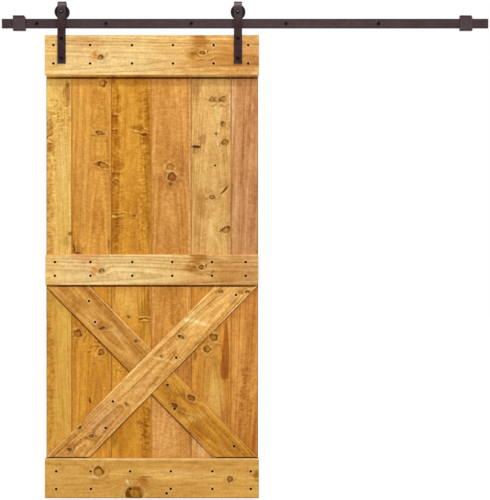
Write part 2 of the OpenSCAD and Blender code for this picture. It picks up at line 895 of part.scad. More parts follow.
// Grooved wheel moulded round its bearing
module wheel(side) {
    color(black)
        at_axle(side)
        rotate_extrude()
        polygon(concat(wheel_half_section, mirrored(wheel_half_section)));
}

track();
for (i = [0:bolt_count - 1]) {
    wall_spacer(i);
    wall_bolt(i);
}
stop_block(0);  // left_stop
stop_block(1);  // right_stop
stop_set_screws();
for (i = [0:plank_count - 1])
    plank(i);
top_rail();
middle_rail();
bottom_rail();
long_brace();
upper_brace();
lower_brace();
top_rail_screws();
middle_rail_screws();
bottom_rail_screws();
brace_screws();
for (side = [0, 1]) {
    name = side == 0 ? "left_" : "right_";
    strap(side);
    side_strap_bolts(side);
    side_sleeve_nuts(side);
    axle_bolt(side);
    axle_nut(side);
    bushes(side);
    inner_ring(side);
    wheel(side);
    outer_ring(side);
    shields(side);
    balls(side);
    cage(side);
}
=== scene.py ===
import math

import bpy
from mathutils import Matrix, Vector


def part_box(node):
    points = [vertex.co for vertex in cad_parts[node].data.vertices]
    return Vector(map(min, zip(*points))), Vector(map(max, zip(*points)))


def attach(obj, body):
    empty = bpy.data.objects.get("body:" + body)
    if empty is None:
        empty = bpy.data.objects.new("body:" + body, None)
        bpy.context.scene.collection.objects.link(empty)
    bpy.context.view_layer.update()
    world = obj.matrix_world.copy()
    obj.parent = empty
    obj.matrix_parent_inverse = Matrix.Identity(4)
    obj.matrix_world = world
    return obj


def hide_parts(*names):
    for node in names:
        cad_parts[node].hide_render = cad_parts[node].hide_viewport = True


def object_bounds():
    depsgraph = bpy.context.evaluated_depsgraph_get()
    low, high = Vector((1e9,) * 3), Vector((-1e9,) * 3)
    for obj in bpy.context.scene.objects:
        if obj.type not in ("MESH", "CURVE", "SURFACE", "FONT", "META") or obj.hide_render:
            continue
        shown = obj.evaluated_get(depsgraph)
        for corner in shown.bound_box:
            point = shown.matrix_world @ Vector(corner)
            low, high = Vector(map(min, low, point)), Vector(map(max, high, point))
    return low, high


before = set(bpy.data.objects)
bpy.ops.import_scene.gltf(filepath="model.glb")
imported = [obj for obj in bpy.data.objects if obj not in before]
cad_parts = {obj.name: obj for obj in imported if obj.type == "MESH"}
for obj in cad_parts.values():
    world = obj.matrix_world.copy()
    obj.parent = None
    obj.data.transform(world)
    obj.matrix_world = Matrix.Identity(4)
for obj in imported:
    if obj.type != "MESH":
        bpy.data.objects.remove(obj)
cad_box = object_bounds()

# Track, wall spacers, end stops and hanger straps. Flat steel bar and turned steel, sawn, bent and
# drilled, then powder coated a dark bronze brown. The coat has a fine orange peel and small pale pits.


def colour(chip):
    """A paint chip such as #d89a40 as the linear colour that shader sockets take."""
    parts = [int(chip[k : k + 2], 16) / 255 for k in (1, 3, 5)]
    return (*[c / 12.92 if c <= 0.04045 else ((c + 0.055) / 1.055) ** 2.4 for c in parts], 1)


def feed(node, settings):
    """Sets a node's inputs, or links them where the value is another node's socket."""
    for label, value in settings.items():
        if isinstance(value, bpy.types.NodeSocket):
            node.id_data.links.new(value, node.inputs[label])
        else:
            node.inputs[label].default_value = value
    return node


def add_node(tree, kind, settings=None, **choices):
    """Adds a node with its choices, such as the operation, and feeds its inputs."""
    made = tree.nodes.new(f"ShaderNode{kind}")
    for choice, value in choices.items():
        setattr(made, choice, value)
    return feed(made, settings or {})


def tree_of(*values):
    """The node tree that the sockets among the values belong to."""
    return next(value.id_data for value in values if isinstance(value, bpy.types.NodeSocket))


def maths(operation, *values):
    return add_node(tree_of(*values), "Math", dict(enumerate(values)), operation=operation).outputs[0]


def product(*values):
    total = values[0]
    for value in values[1:]:
        total = maths("MULTIPLY", total, value)
    return total


# The colour sockets of a Mix node, by their places among its inputs and outputs
MIX_FACTOR, MIX_FIRST, MIX_SECOND, MIX_RESULT = 0, 6, 7, 2


def blend(factor, first, second, mode="MIX"):
    made = add_node(tree_of(factor, first, second), "Mix", data_type="RGBA", blend_type=mode)
    feed(made, {MIX_FACTOR: factor, MIX_FIRST: first, MIX_SECOND: second})
    return made.outputs[MIX_RESULT]


def ease(value, low, high, start=0.0, end=1.0):
    """A smooth step from start to end while the value goes from low to high."""
    settings = dict(enumerate((value, low, high, start, end)))
    return add_node(tree_of(value), "MapRange", settings, interpolation_type="SMOOTHSTEP").outputs[0]


def noise(vector, scale, detail=2.0, roughness=0.5, output="Fac"):
    settings = {"Vector": vector, "Scale": scale, "Detail": detail, "Roughness": roughness}
    return add_node(vector.id_data, "TexNoise", settings).outputs[output]


def axes_of(vector):
    """The X, Y and Z of a vector."""
    return add_node(vector.id_data, "SeparateXYZ", {0: vector}).outputs


def blank_material(name):
    made = bpy.data.materials.new(name)
    made.use_nodes = True
    return made, made.node_tree, made.node_tree.nodes["Principled BSDF"]


def object_place(tree):
    return add_node(tree, "TexCoord").outputs["Object"]


def coated_steel(name, body, pale, rough, peel_scale, peel_height, sheen):
    """Powder coat: the body colour clouded with a paler one, over a fine orange peel."""
    made, tree, shader = blank_material(name)
    place = object_place(tree)
    cloud = ease(noise(place, scale=42, detail=4, roughness=0.6), 0.36, 0.66)
    pits = ease(noise(place, scale=950, detail=1), 0.63, 0.72)
    tint = blend(product(cloud, 0.55), colour(body), colour(pale))
    tint = blend(product(pits, 0.25), tint, colour(pale))
    wear = ease(noise(place, scale=16, detail=3), 0.3, 0.7, rough - 0.07, rough + 0.09)
    peel = {"Strength": 0.35, "Distance": peel_height, "Height": noise(place, peel_scale)}
    normal = add_node(tree, "Bump", peel).outputs["Normal"]
    feed(shader, {"Base Color": tint, "Roughness": wear, "Specular IOR Level": sheen, "Normal": normal})
    return made


def overpaint(material, axis, low, high, amount, chip):
    """Lays a colour over a finished coat, from none to the amount as the place goes from low to high."""
    tree = material.node_tree
    shader = tree.nodes["Principled BSDF"]
    coated = shader.inputs["Base Color"].links[0].from_socket
    cover = ease(axes_of(object_place(tree))[axis], low, high, 0, amount)
    feed(shader, {"Base Color": blend(cover, coated, colour(chip))})


def paint_edge_shade(material, name, width, amount, chip):
    """Painted shade along a bar's rolled upper and lower edges, where they turn from the light."""
    low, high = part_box(name)
    overpaint(material, "Z", high.z - 1.5 * width, high.z - width, amount, chip)
    overpaint(material, "Z", low.z + width, low.z + 0.5 * width, amount, chip)


def coat(name, material):
    """Gives a CAD piece its finished material."""
    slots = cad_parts[name].data.materials
    slots.clear()
    slots.append(material)


SIDES = ("left", "right")
WALL_BOLTS = range(1, 6)
POWDER = dict(peel_scale=620, peel_height=0.0005)
bronze = coated_steel("bronze_coat", "#3f2e30", "#4d3d3f", rough=0.46, sheen=0.16, **POWDER)
# Painted shade along the track's upper and lower edges
paint_edge_shade(bronze, "track", width=0.006, amount=0.75, chip="#332a2a")
for name in ["track", *[f"wall_spacer_{k}" for k in WALL_BOLTS]]:
    coat(name, bronze)
pale_bronze = coated_steel("pale_bronze_coat", "#4b3b3d", "#5a4a4d", rough=0.46, sheen=0.16, **POWDER)
# Painted shade along the stops' upper and lower edges
paint_edge_shade(pale_bronze, "left_stop", width=0.007, amount=0.7, chip="#2c2022")
dark_bronze = coated_steel("dark_bronze_coat", "#342123", "#483534", rough=0.44, sheen=0.08, **POWDER)
# Painted light on a strap's bend: paler upwards, a painted highlight below its top, painted shade along the
# top
bend_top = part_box("left_strap")[1].z
for below, above, amount, chip in (
    (0.1, 0.05, 0.35, "#5c5050"),
    (0.03, 0.0125, 0.62, "#8f8082"),
    (0.0105, 0.0085, 0.9, "#0d0808"),
):
    overpaint(dark_bronze, "Z", bend_top - below, bend_top - above, amount, chip)
for side in SIDES:
    coat(f"{side}_stop", pale_bronze)
    coat(f"{side}_strap", dark_bronze)

# Lag bolts, strap bolts, nuts and axles. Cold headed steel with rolled threads, blackened in an oxide
# bath and oiled, so they are darker and a little shinier than the powder coat round them.
OXIDE = dict(body="#0b0606", pale="#170f0f", rough=0.4, sheen=0.06, peel_scale=900, peel_height=0.0002)
black_steel = coated_steel("black_steel", **OXIDE)
axle_steel = coated_steel("axle_steel", **OXIDE)
# The domed end of an axle bolt is paler over its foremost millimetre
axle_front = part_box("left_axle_bolt")[0].y
overpaint(axle_steel, "Y", axle_front + 0.0011, axle_front + 0.0004, 0.9, "#7c7173")
coat("stop_set_screws", black_steel)
for side in SIDES:
    for name in ("strap_bolts", "sleeve_nuts", "axle_nut"):
        coat(f"{side}_{name}", black_steel)
    coat(f"{side}_axle_bolt", axle_steel)


def begin(add, stretch=(1, 1, 1), **settings):
    """Adds a primitive with nothing else selected, stretched, its place and turn in its mesh."""
    bpy.ops.object.select_all(action="DESELECT")
    add(**settings)
    bpy.context.object.scale = stretch
    bpy.ops.object.transform_apply(location=True, rotation=True, scale=True)
    return bpy.context.object


def turn_outward():
    """Turns all faces of the mesh in edit mode outwards, and goes back to object mode."""
    bpy.ops.mesh.select_all(action="SELECT")
    bpy.ops.mesh.normals_make_consistent(inside=False)
    bpy.ops.object.mode_set(mode="OBJECT")


def turned_body(outline, sides):
    """A turned bar: a disc drawn down through the outline's radii and heights."""
    (last_r, last_z), *rest = outline
    made = begin(
        bpy.ops.mesh.primitive_circle_add,
        vertices=sides,
        radius=last_r,
        fill_type="NGON",
        location=(0, 0, last_z),
    )
    bpy.ops.object.mode_set(mode="EDIT")
    for radius, level in rest:
        bpy.ops.mesh.extrude_region_move(TRANSFORM_OT_translate={"value": (0, 0, level - last_z)})
        spread = radius / last_r
        bpy.ops.transform.resize(value=(spread, spread, 1), center_override=(0, 0, level))
        last_r, last_z = radius, level
    turn_outward()
    return made


CREST_SHARE, POINT_SHARE = 0.36, 0.05
# A thread starts a little turned, so that none of its points falls on an edge of the core
THREAD_START = math.radians(7.5)


def thread(core_r, crest_r, pitch, start_z, turns, steps):
    """A rolled thread: a lozenge half sunk in the core, screwed down round Z and closed at its ends."""
    made = begin(
        bpy.ops.mesh.primitive_circle_add,
        vertices=4,
        radius=1,
        rotation=(math.radians(90), 0, 0),
        location=(core_r, 0, start_z),
        stretch=(crest_r - core_r, CREST_SHARE * pitch, 1),
    )
    turning = made.modifiers.new("turns", "SCREW")
    turning.axis = "Z"
    turning.screw_offset = -pitch
    turning.iterations = turns
    turning.steps = turning.render_steps = steps
    turning.use_merge_vertices = True
    bpy.ops.object.modifier_apply(modifier=turning.name)
    bpy.ops.object.mode_set(mode="EDIT")
    bpy.ops.mesh.select_all(action="SELECT")
    bpy.ops.transform.rotate(value=THREAD_START, orient_axis="Z", center_override=(0, 0, 0))
    bpy.ops.mesh.fill_holes(sides=4)
    turn_outward()
    return made


def carve(piece, tool, operation):
    """Unites the tool with the piece, cuts it away or keeps what they share, and removes the tool."""
    cut = piece.modifiers.new("cut", "BOOLEAN")
    cut.operation = operation
    cut.solver = "EXACT"
    cut.object = tool
    bpy.context.view_layer.objects.active = piece
    bpy.ops.object.modifier_apply(modifier=cut.name)
    bpy.data.objects.remove(tool)


def finish_model(model, material):
    """Smooths a model's round faces and gives it its material."""
    bpy.ops.object.shade_smooth_by_angle(angle=math.radians(32))
    model.data.materials.clear()
    model.data.materials.append(material)


def facing_front(model, place):
    """A copy of a model that was made along Z, turned to the front and set at the place."""
    made = model.copy()
    made.data = model.data.copy()
    bpy.context.scene.collection.objects.link(made)
    made.rotation_euler = (math.radians(90), 0, 0)
    made.location = place
    bpy.ops.object.select_all(action="DESELECT")
    made.select_set(True)
    bpy.context.view_layer.objects.active = made
    bpy.ops.object.transform_apply(location=True, rotation=True, scale=True)
    return made


def stand_for(piece, name, node, body):
    """Names a new piece of black steel, which stands for a CAD node and moves with its body."""
    piece.name = name
    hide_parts(node)
    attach(piece, body)


LAG_SHANK_R, LAG_CORE_R, LAG_CREST_R = 0.004, 0.0028, 0.00365
LAG_PITCH, LAG_TURNS, LAG_POINT = 0.0028, 12, 0.008
LAG_CHAMFER, LAG_CROWN_W, LAG_CROWN_H = 0.0009, 0.0027, 0.00153
LAG_DISH, LAG_DISH_RIM = 0.0003, 0.0012
FACING_UP = 0.99
low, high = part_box("wall_bolt_1")
bar_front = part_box("track")[0].y
head_h, head_w = bar_front - low.y, high.z - low.z
shank_end, tip = bar_front, bar_front - high.y
lag = begin(bpy.ops.mesh.primitive_cylinder_add, vertices=6, radius=head_w / math.sqrt(3), depth=head_h)
bpy.ops.transform.translate(value=(0, 0, head_h / 2))
bpy.ops.object.transform_apply(location=True, rotation=True, scale=True)
bpy.ops.object.mode_set(mode="EDIT")
bpy.ops.mesh.select_all(action="SELECT")
bpy.ops.transform.rotate(value=math.radians(30), orient_axis="Z", center_override=(0, 0, 0))
bpy.ops.object.mode_set(mode="OBJECT")
flat_r = head_w / 2 - LAG_CHAMFER / 2
crown = [(flat_r, head_h), (flat_r + LAG_CROWN_W, head_h - LAG_CROWN_H), (head_w, -head_h)]
# With fifty sides no edge of the crown meets a corner of the hexagon
carve(lag, turned_body(crown, sides=50), "INTERSECT")
bpy.ops.object.mode_set(mode="EDIT")
bpy.ops.mesh.select_all(action="DESELECT")
bpy.ops.object.mode_set(mode="OBJECT")
for face in lag.data.polygons:
    face.select = face.normal.z > FACING_UP
bpy.ops.object.mode_set(mode="EDIT")
bpy.ops.mesh.select_mode(type="FACE")
bpy.ops.mesh.inset(thickness=LAG_DISH_RIM, depth=-LAG_DISH)
bpy.ops.object.mode_set(mode="OBJECT")
thread_top = shank_end - LAG_SHANK_R
shank = [
    (LAG_SHANK_R, head_h / 2),
    (LAG_SHANK_R, shank_end),
    (LAG_CORE_R, thread_top + LAG_CORE_R),
    (LAG_CORE_R, tip + LAG_POINT),
    (POINT_SHARE * LAG_CORE_R, tip),
]
shank = turned_body(shank, sides=32)
carve(shank, thread(LAG_CORE_R, LAG_CREST_R, LAG_PITCH, thread_top, LAG_TURNS, steps=20), "UNION")
carve(lag, shank, "UNION")
finish_model(lag, black_steel)
for k in WALL_BOLTS:
    low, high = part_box(f"wall_bolt_{k}")
    bolt = facing_front(lag, ((low.x + high.x) / 2, bar_front, (low.z + high.z) / 2))
    stand_for(bolt, f"lag_bolt_{k}", f"wall_bolt_{k}", "track")
bpy.data.objects.remove(lag)

# Wheels. Black nylon turned with a groove that straddles the track, polished by rolling on the tread
# and dull on the dished sides. Each is pressed on a small ball bearing of bright steel.
nylon, tree, shader = blank_material("black_nylon")
scuff = ease(noise(object_place(tree), scale=160, detail=4, roughness=0.65), 0.42, 0.7)
feed(
    shader,
    {
        "Base Color": blend(scuff, colour("#1a1212"), colour("#2b2222")),
        "Roughness": ease(scuff, 0, 1, 0.42, 0.62),
        "Specular IOR Level": 0.14,
    },
)
bearing_steel, tree, shader = blank_material("bearing_steel")
swirl = noise(object_place(tree), scale=700, detail=3)
feed(
    shader,
    {
        "Base Color": blend(swirl, colour("#a5a5a9"), colour("#cdcdd0")),
        "Roughness": ease(swirl, 0.3, 0.7, 0.18, 0.34),
        "Metallic": 1.0,
    },
)
for side in SIDES:
    coat(f"{side}_wheel", nylon)
    for name in ("bushes", "inner_ring", "outer_ring", "shields", "balls", "cage"):
        coat(f"{side}_{name}", bearing_steel)

# Planks. Knotty pine, tongued and grooved, planed, stained to a honey gold and oiled. Growth rings
# run up the face and bend round the knots; painted shade lies where the rails and braces stand on them.
DOOR_LEFT_PX, DOOR_RIGHT_PX = 45.6, 258.2
DOOR_TOP_PX, DOOR_BOTTOM_PX = 34.9, 498.35
first_low, first_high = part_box("plank_1")
last_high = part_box("plank_6")[1]
px_x = (last_high.x - first_low.x) / (DOOR_RIGHT_PX - DOOR_LEFT_PX)
px_z = (first_high.z - first_low.z) / (DOOR_BOTTOM_PX - DOOR_TOP_PX)


def spot(x_px, y_px):
    """A place on the door, from where the photograph shows it."""
    return (first_low.x + (x_px - DOOR_LEFT_PX) * px_x, 0, first_high.z - (y_px - DOOR_TOP_PX) * px_z)


VECTOR, FLOAT, COLOUR = "NodeSocketVector", "NodeSocketFloat", "NodeSocketColor"


def new_group(name, inputs, outputs):
    """A node group, the sockets that it is given, and the node that its results go to."""
    tree = bpy.data.node_groups.new(name, "ShaderNodeTree")
    for in_out, sockets in (("INPUT", inputs), ("OUTPUT", outputs)):
        for label, kind in sockets.items():
            tree.interface.new_socket(label, in_out=in_out, socket_type=kind)
    return tree, tree.nodes.new("NodeGroupInput").outputs, tree.nodes.new("NodeGroupOutput")


def oval(place, centre, turn, radius):
    """The place measured from the middle of a turned oval, in radii."""
    turned = add_node(place.id_data, "CombineXYZ", {"Y": turn}).outputs[0]
    settings = {"Vector": place, "Location": centre, "Rotation": turned, "Scale": radius}
    return add_node(place.id_data, "Mapping", settings, vector_type="TEXTURE").outputs[0]


def vectors(operation, *values):
    return add_node(tree_of(*values), "VectorMath", dict(enumerate(values)), operation=operation).outputs


def length_of(vector):
    return vectors("LENGTH", vector)["Value"]


def bell(value, width):
    """One at zero, and falling smoothly to nothing past the width."""
    return maths("EXPONENT", product(maths("POWER", maths("DIVIDE", value, width), 2.0), -1.0))


def ridge(value, middle, width):
    """One where the value is at the middle, and falling to nothing on both sides."""
    return bell(maths("SUBTRACT", value, middle), width)


# A knot's field: the place measured from its middle in radii, and how far it lifts the grain
knot_field, given, result = new_group(
    "knot_field",
    {"Place": VECTOR, "Centre": VECTOR, "Turn": FLOAT, "Radius": VECTOR, "Swirl": FLOAT},
    {"Local": VECTOR, "Lift": FLOAT},
)
local = oval(given["Place"], given["Centre"], given["Turn"], given["Radius"])
feed(result, {"Local": local, "Lift": product(bell(length_of(local), 2.1), given["Swirl"])})

# A knot's paint: a faint stained halo, a ringed heart with a broken outline, on the side away from its lean
# a crescent of dark bark, and round it a broken pale line where the plane cut across the bent grain
knot_paint, given, result = new_group(
    "knot_paint",
    {
        **dict.fromkeys(("Colour", "Heart", "Rim"), COLOUR),
        **dict.fromkeys(("Local", "Lean"), VECTOR),
        **dict.fromkeys(("Spots", "Halo", "Depth", "Flare"), FLOAT),
    },
    {"Colour": COLOUR},
)
depth = given["Depth"]
away = length_of(given["Local"])
beside = length_of(vectors("SUBTRACT", given["Local"], given["Lean"])["Vector"])
painted = blend(product(bell(away, 1.9), given["Halo"]), given["Colour"], given["Heart"])
core = product(ease(away, 1.15, 0.75), depth, 0.75)
painted = blend(core, painted, given["Heart"])
waves = maths("SINE", maths("MULTIPLY_ADD", given["Spots"], 4.0, product(away, 8.0)))
rings = product(ease(waves, -0.2, 1, 0, 0.5), bell(away, 1.7), depth)
outline = product(ridge(away, 0.95, 0.25), depth, ease(given["Spots"], 0.35, 0.6, 0.3, 0.9))
bark = product(ease(away, 1.25, 1.0), ease(beside, 0.8, 1.0), depth)
for cover in (rings, outline, bark):
    painted = blend(cover, painted, given["Rim"])
cut = product(ridge(away, 1.5, 0.24), ease(given["Spots"], 0.4, 0.6, 0.25, 1), given["Flare"], 0.55)
feed(result, {"Colour": blend(cut, painted, colour("#f4c878"))})

# A patch: where a soft oval or square covers the wood, with an edge that the grain frays
patch_cover, given, result = new_group(
    "patch_cover",
    {
        **dict.fromkeys(("Place", "Centre", "Radius"), VECTOR),
        **dict.fromkeys(("Turn", "Square", "Soft", "Fray"), FLOAT),
    },
    {"Cover": FLOAT},
)
local = oval(given["Place"], given["Centre"], given["Turn"], given["Radius"])
axes = axes_of(local)
boxed = maths("MAXIMUM", maths("ABSOLUTE", axes["X"]), maths("ABSOLUTE", axes["Z"]))
reach = length_of(local)
squarer = product(maths("SUBTRACT", boxed, reach), given["Square"])
reach = maths("ADD", maths("ADD", reach, squarer), given["Fray"])
outside, inside = [maths(side, 1.0, given["Soft"]) for side in ("ADD", "SUBTRACT")]
feed(result, {"Cover": ease(reach, outside, inside)})

# The grain of a board: rings round a pith that lies behind the face, streaks and bands that follow them,
# slow clouds and mottle of tone, a curly speckle for rough places, short dark flecks and fine fibres
grain, given, result = new_group(
    "grain",
    {
        **dict.fromkeys(("Board", "Pith"), VECTOR),
        **dict.fromkeys(("Seed", "Ring", "Taper", "Wander", "Lift"), FLOAT),
    },
    dict.fromkeys(("Rings", "Streaks", "Bands", "Clouds", "Mottle", "Curl", "Flecks", "Fibres"), FLOAT),
)
board, pith = axes_of(given["Board"]), axes_of(given["Pith"])
shift = add_node(grain, "CombineXYZ", dict.fromkeys("XYZ", given["Seed"])).outputs[0]


def board_noise(across, along, detail=2, roughness=0.5):
    """Noise with so many waves a metre across the board and along it."""
    place = vectors("MULTIPLY_ADD", given["Board"], (across, across, along), shift)["Vector"]
    return noise(place, 1, detail, roughness)


slow, quick = [maths("SUBTRACT", wave, 0.5) for wave in (board_noise(2.5, 1.1), board_noise(26, 4.5, 3))]
across, behind = [maths("SUBTRACT", board[axis], pith[axis]) for axis in "XY"]
across = maths("MULTIPLY_ADD", slow, given["Wander"], across)
across = maths("MULTIPLY_ADD", product(quick, 0.17), given["Wander"], across)
squares = maths("ADD", maths("POWER", across, 2.0), maths("POWER", behind, 2.0))
climb = maths("MULTIPLY_ADD", board["Z"], given["Taper"], given["Lift"])
radius = maths("ADD", maths("SQRT", squares), climb)
phase = maths("FRACT", maths("DIVIDE", radius, given["Ring"]))


def ring_noise(across, along, roughness=0.5):
    """Noise that follows the rings, with so many waves a metre across them and along the board."""
    settings = {"X": product(radius, across), "Y": given["Seed"], "Z": product(board["Z"], along)}
    return noise(add_node(grain, "CombineXYZ", settings).outputs[0], 1, 2, roughness)


feed(
    result,
    {
        "Rings": product(maths("POWER", phase, 2.2), ease(phase, 1.0, 0.9)),
        "Streaks": ring_noise(120, 1.6, 0.55),
        "Bands": ring_noise(42, 0.9),
        "Clouds": board_noise(13, 2.4, 3),
        "Mottle": board_noise(52, 15, 4, 0.6),
        "Curl": board_noise(62, 112, 1),
        "Flecks": ease(board_noise(240, 20), 0.54, 0.72),
        "Fibres": board_noise(900, 14, 3, 0.6),
    },
)


def knot(
    x_px, y_px, wide_px, high_px, heart, rim,
    halo=0.15, depth=0.68, turn=0, lean=-90, off=0.4, swirl=1.6, flare=0.8,
):
    """A knot, with its heart off the middle, leaning at an angle in degrees that is zero to the right."""
    lean = math.radians(lean)
    return {
        "Centre": spot(x_px, y_px),
        "Radius": (wide_px * px_x, 1.0, high_px * px_z),
        "Turn": math.radians(turn),
        "Lean": (off * math.cos(lean), 0, off * math.sin(lean)),
        "Swirl": swirl * wide_px * px_x,
        "Heart": colour(heart),
        "Rim": colour(rim),
        "Halo": halo,
        "Depth": depth,
        "Flare": flare,
    }


def patch(x_px, y_px, wide_px, high_px, amount, turn=0, soft=0.5, chip=None):
    """A place that is rough, or stained with the chip's colour, with an edge that the grain frays."""
    return {
        "Centre": spot(x_px, y_px),
        "Radius": (wide_px * px_x, 1.0, high_px * px_z),
        "Turn": math.radians(turn),
        "Soft": soft,
        "amount": amount,
        "chip": chip,
    }


def stain(x_px, y_px, wide_px, high_px, chip, amount, turn=0):
    return patch(x_px, y_px, wide_px, high_px, amount, turn, chip=chip)


def mark(x_px, y_px, wide_px, high_px, chip, amount, turn=0, soft=0.5, square=0.0):
    """A stain with clean sides, round or squarer."""
    return dict(patch(x_px, y_px, wide_px, high_px, amount, turn, soft, chip), Square=square)


def strip(x_px, y_px, wide_px, high_px, chip, amount, turn=0, soft=0.25):
    """A straight mark, as along the edge of a board."""
    return mark(x_px, y_px, wide_px, high_px, chip, amount, turn, soft, square=1.0)


def streak(x_px, y_px, wide_px, high_px, chip, amount, turn):
    """A line of pale grain that fades at its sides."""
    return mark(x_px, y_px, wide_px, high_px, chip, amount, turn, soft=0.6)


def crack(x_px, y_px, wide_px, high_px, chip, amount, turn):
    """A crack in a knot, or the bright edge beside it."""
    return mark(x_px, y_px, wide_px, high_px, chip, amount, turn, soft=0.4)


# The pale colour of grain marks and of painted highlights, and the painted shade below a lifted ridge
PALE, RIDGE_SHADE = "#f3c062", "#7c4200"
PALE_LINE_PX, DARK_LINE_PX, DARK_SHARE = 0.65, 0.7, 0.9
DARK_RIGHT_PX, DARK_BELOW_PX = 0.4, 1.5


def ripple(x_px, y_px, wide_px, turn, amount=0.5):
    """A ridge of grain lifted beside a knot, drawn as a painted highlight over a line of painted shade."""
    dark_x, dark_y = x_px + DARK_RIGHT_PX, y_px + DARK_BELOW_PX
    return [
        stain(x_px, y_px, wide_px, PALE_LINE_PX, PALE, amount, turn),
        stain(dark_x, dark_y, DARK_SHARE * wide_px, DARK_LINE_PX, RIDGE_SHADE, amount, turn),
    ]


def grouped(tree, group, settings):
    """Adds a node of the group and feeds it those of the settings that it takes."""
    made = add_node(tree, "Group", node_tree=group)
    return feed(made, {label: value for label, value in settings.items() if label in made.inputs}).outputs


WOBBLE, WOBBLE_SCALE = 0.02, 58
PALE_EDGE_W, DARK_EDGE_W = 0.008, 0.006
SANDED_AND_LIT, FLECK, END_GRAIN, CORNER, JOINT = "#ffdc92", "#9a5c14", "#8f5a1e", "#e9b765", "#744004"
DRUNK = (1, 0.78, 0.3, 1)
# How a board's tone goes from its dark streaks to its pale ones: position, level and depth of colour
SHADES = ((0.0, 0.44, 1.35), (0.3, 0.81, 1.12), (0.55, 1.12, 1.0), (1.0, 1.65, 0.84))
SHADE_POWERS = (0.8, 1.0, 1.15)


def pine(
    name,
    middle,
    turn,
    half,
    middle_tone,
    pith,
    seed_value,
    ring=0.009,
    taper=0.03,
    wander=0.03,
    contrast=(0.1, 0.6, 0.45, 0.4, 0.5),
    rough=0.36,
    dark_edge=0.0,
    pale_edges=(0, 0),
    redden=1.0,
    knots=(),
    roughs=(),
    stains_and_shading=(),
):
    """Stained pine, with the grain along the board's local Z, which is turned about Y. The contrast is that
    of rings, streaks, bands, clouds and mottle. The long edges are dark where stain has run into a joint,
    or pale, partly sanded and partly a painted highlight where light catches them."""
    made, tree, shader = blank_material(name)
    place = object_place(tree)
    local = oval(place, middle, turn, (1, 1, 1))
    # Knots and stains are drawn out of true by the same slow wobble
    wobble = vectors("SUBTRACT", noise(place, WOBBLE_SCALE, 1, output="Color"), (0.5, 0.5, 0.5))["Vector"]
    bent = vectors("MULTIPLY_ADD", wobble, (WOBBLE, 0, 1.2 * WOBBLE), place)["Vector"]
    fields = [grouped(tree, knot_field, {**item, "Place": bent}) for item in knots]
    lift = 0.0
    for field in fields:
        lift = maths("ADD", lift, field["Lift"])
    growth = {"Pith": pith, "Seed": seed_value, "Ring": ring, "Taper": taper, "Wander": wander, "Lift": lift}
    wood = grouped(tree, grain, {**growth, "Board": local})
    swings = {
        label: maths("SUBTRACT", wood[label], 0.5)
        for label in ("Streaks", "Bands", "Clouds", "Mottle", "Curl")
    }
    fray = maths("MULTIPLY_ADD", swings["Mottle"], 1.3, swings["Streaks"])
    tone = maths("MULTIPLY_ADD", wood["Rings"], -contrast[0], 0.5 + contrast[0] * 0.25)
    for label, weight in zip(swings, contrast[1:]):
        tone = maths("MULTIPLY_ADD", swings[label], weight, tone)
    for item in roughs:
        cover = grouped(tree, patch_cover, {**item, "Place": bent, "Fray": fray})["Cover"]
        rough = maths("MULTIPLY_ADD", cover, item["amount"], rough)
    tone = maths("MULTIPLY_ADD", swings["Curl"], rough, tone)
    ramp = add_node(tree, "ValToRGB", {0: tone})
    stops = ramp.color_ramp.elements
    while len(stops) < len(SHADES):
        stops.new(0.5)
    tint = colour(middle_tone)
    for stop, (position, level, depth) in zip(stops, SHADES):
        stop.position = position
        stop.color = (*[c ** (depth - 1) * level**power for c, power in zip(tint, SHADE_POWERS)], 1)
    # Stains, painted shade and painted highlights change the colour of the board's face, and its grain then
    # shows through them all
    across = axes_of(local)["X"]
    # Chosen long edges are paler: partly sanding, partly a painted highlight where light catches them
    for side, amount in zip((-1, 1), pale_edges):
        if amount:
            edge = ease(product(across, side), half - PALE_EDGE_W, half - PALE_EDGE_W / 2, 0, amount)
            tint = blend(edge, tint, colour(SANDED_AND_LIT))
    for item in stains_and_shading:
        where = {"Place": place} if "Square" in item else {"Place": bent, "Fray": fray}
        cover = grouped(tree, patch_cover, {**item, **where})["Cover"]
        tint = blend(product(cover, item["amount"]), tint, colour(item["chip"]))
    facing = add_node(tree, "NewGeometry").outputs["True Normal"]
    front = axes_of(facing)["Y"]
    tint = blend(ease(front, -0.2, -0.6), colour(middle_tone), tint)
    tint = blend(1.0, tint, ramp.outputs[0], "MULTIPLY")
    for item, field in zip(knots, fields):
        links = {"Colour": tint, "Local": field["Local"], "Spots": wood["Curl"]}
        tint = grouped(tree, knot_paint, {**item, **links})["Colour"]
    tint = blend(product(wood["Flecks"], 0.3), tint, colour(FLECK))
    # Where the wood is dark it has drunk more of the stain, and is redder
    red = add_node(tree, "SeparateColor", {0: tint}).outputs["Red"]
    tint = blend(ease(red, 0.45, 0.22, 0, redden), tint, DRUNK, "MULTIPLY")
    # End grain drinks more stain, and sanded corners keep less of it
    along = vectors("DOT_PRODUCT", facing, (math.sin(turn), 0, math.cos(turn)))["Value"]
    tint = blend(ease(maths("ABSOLUTE", along), 0.75, 0.95, 0, 0.55), tint, colour(END_GRAIN))
    front = maths("ABSOLUTE", front)
    corner = product(ease(front, 0.4, 0.6), ease(front, 0.97, 0.85), 0.35 - 0.3 * dark_edge)
    tint = blend(corner, tint, colour(CORNER))
    off = maths("ABSOLUTE", across)
    edge = ease(off, half - DARK_EDGE_W, half - DARK_EDGE_W / 4, 0, dark_edge)
    height = maths("MULTIPLY_ADD", wood["Rings"], 0.5, product(wood["Fibres"], 0.6))
    relief = add_node(tree, "Bump", {"Strength": 0.3, "Distance": 0.0006, "Height": height})
    feed(
        shader,
        {
            "Base Color": blend(edge, tint, colour(JOINT)),
            "Roughness": ease(wood["Streaks"], 0.25, 0.75, 0.62, 0.48),
            "Specular IOR Level": 0.06,
            "Normal": relief.outputs["Normal"],
        },
    )
    return made


def middle_of(name):
    low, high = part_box(name)
    return tuple((low + high) / 2)
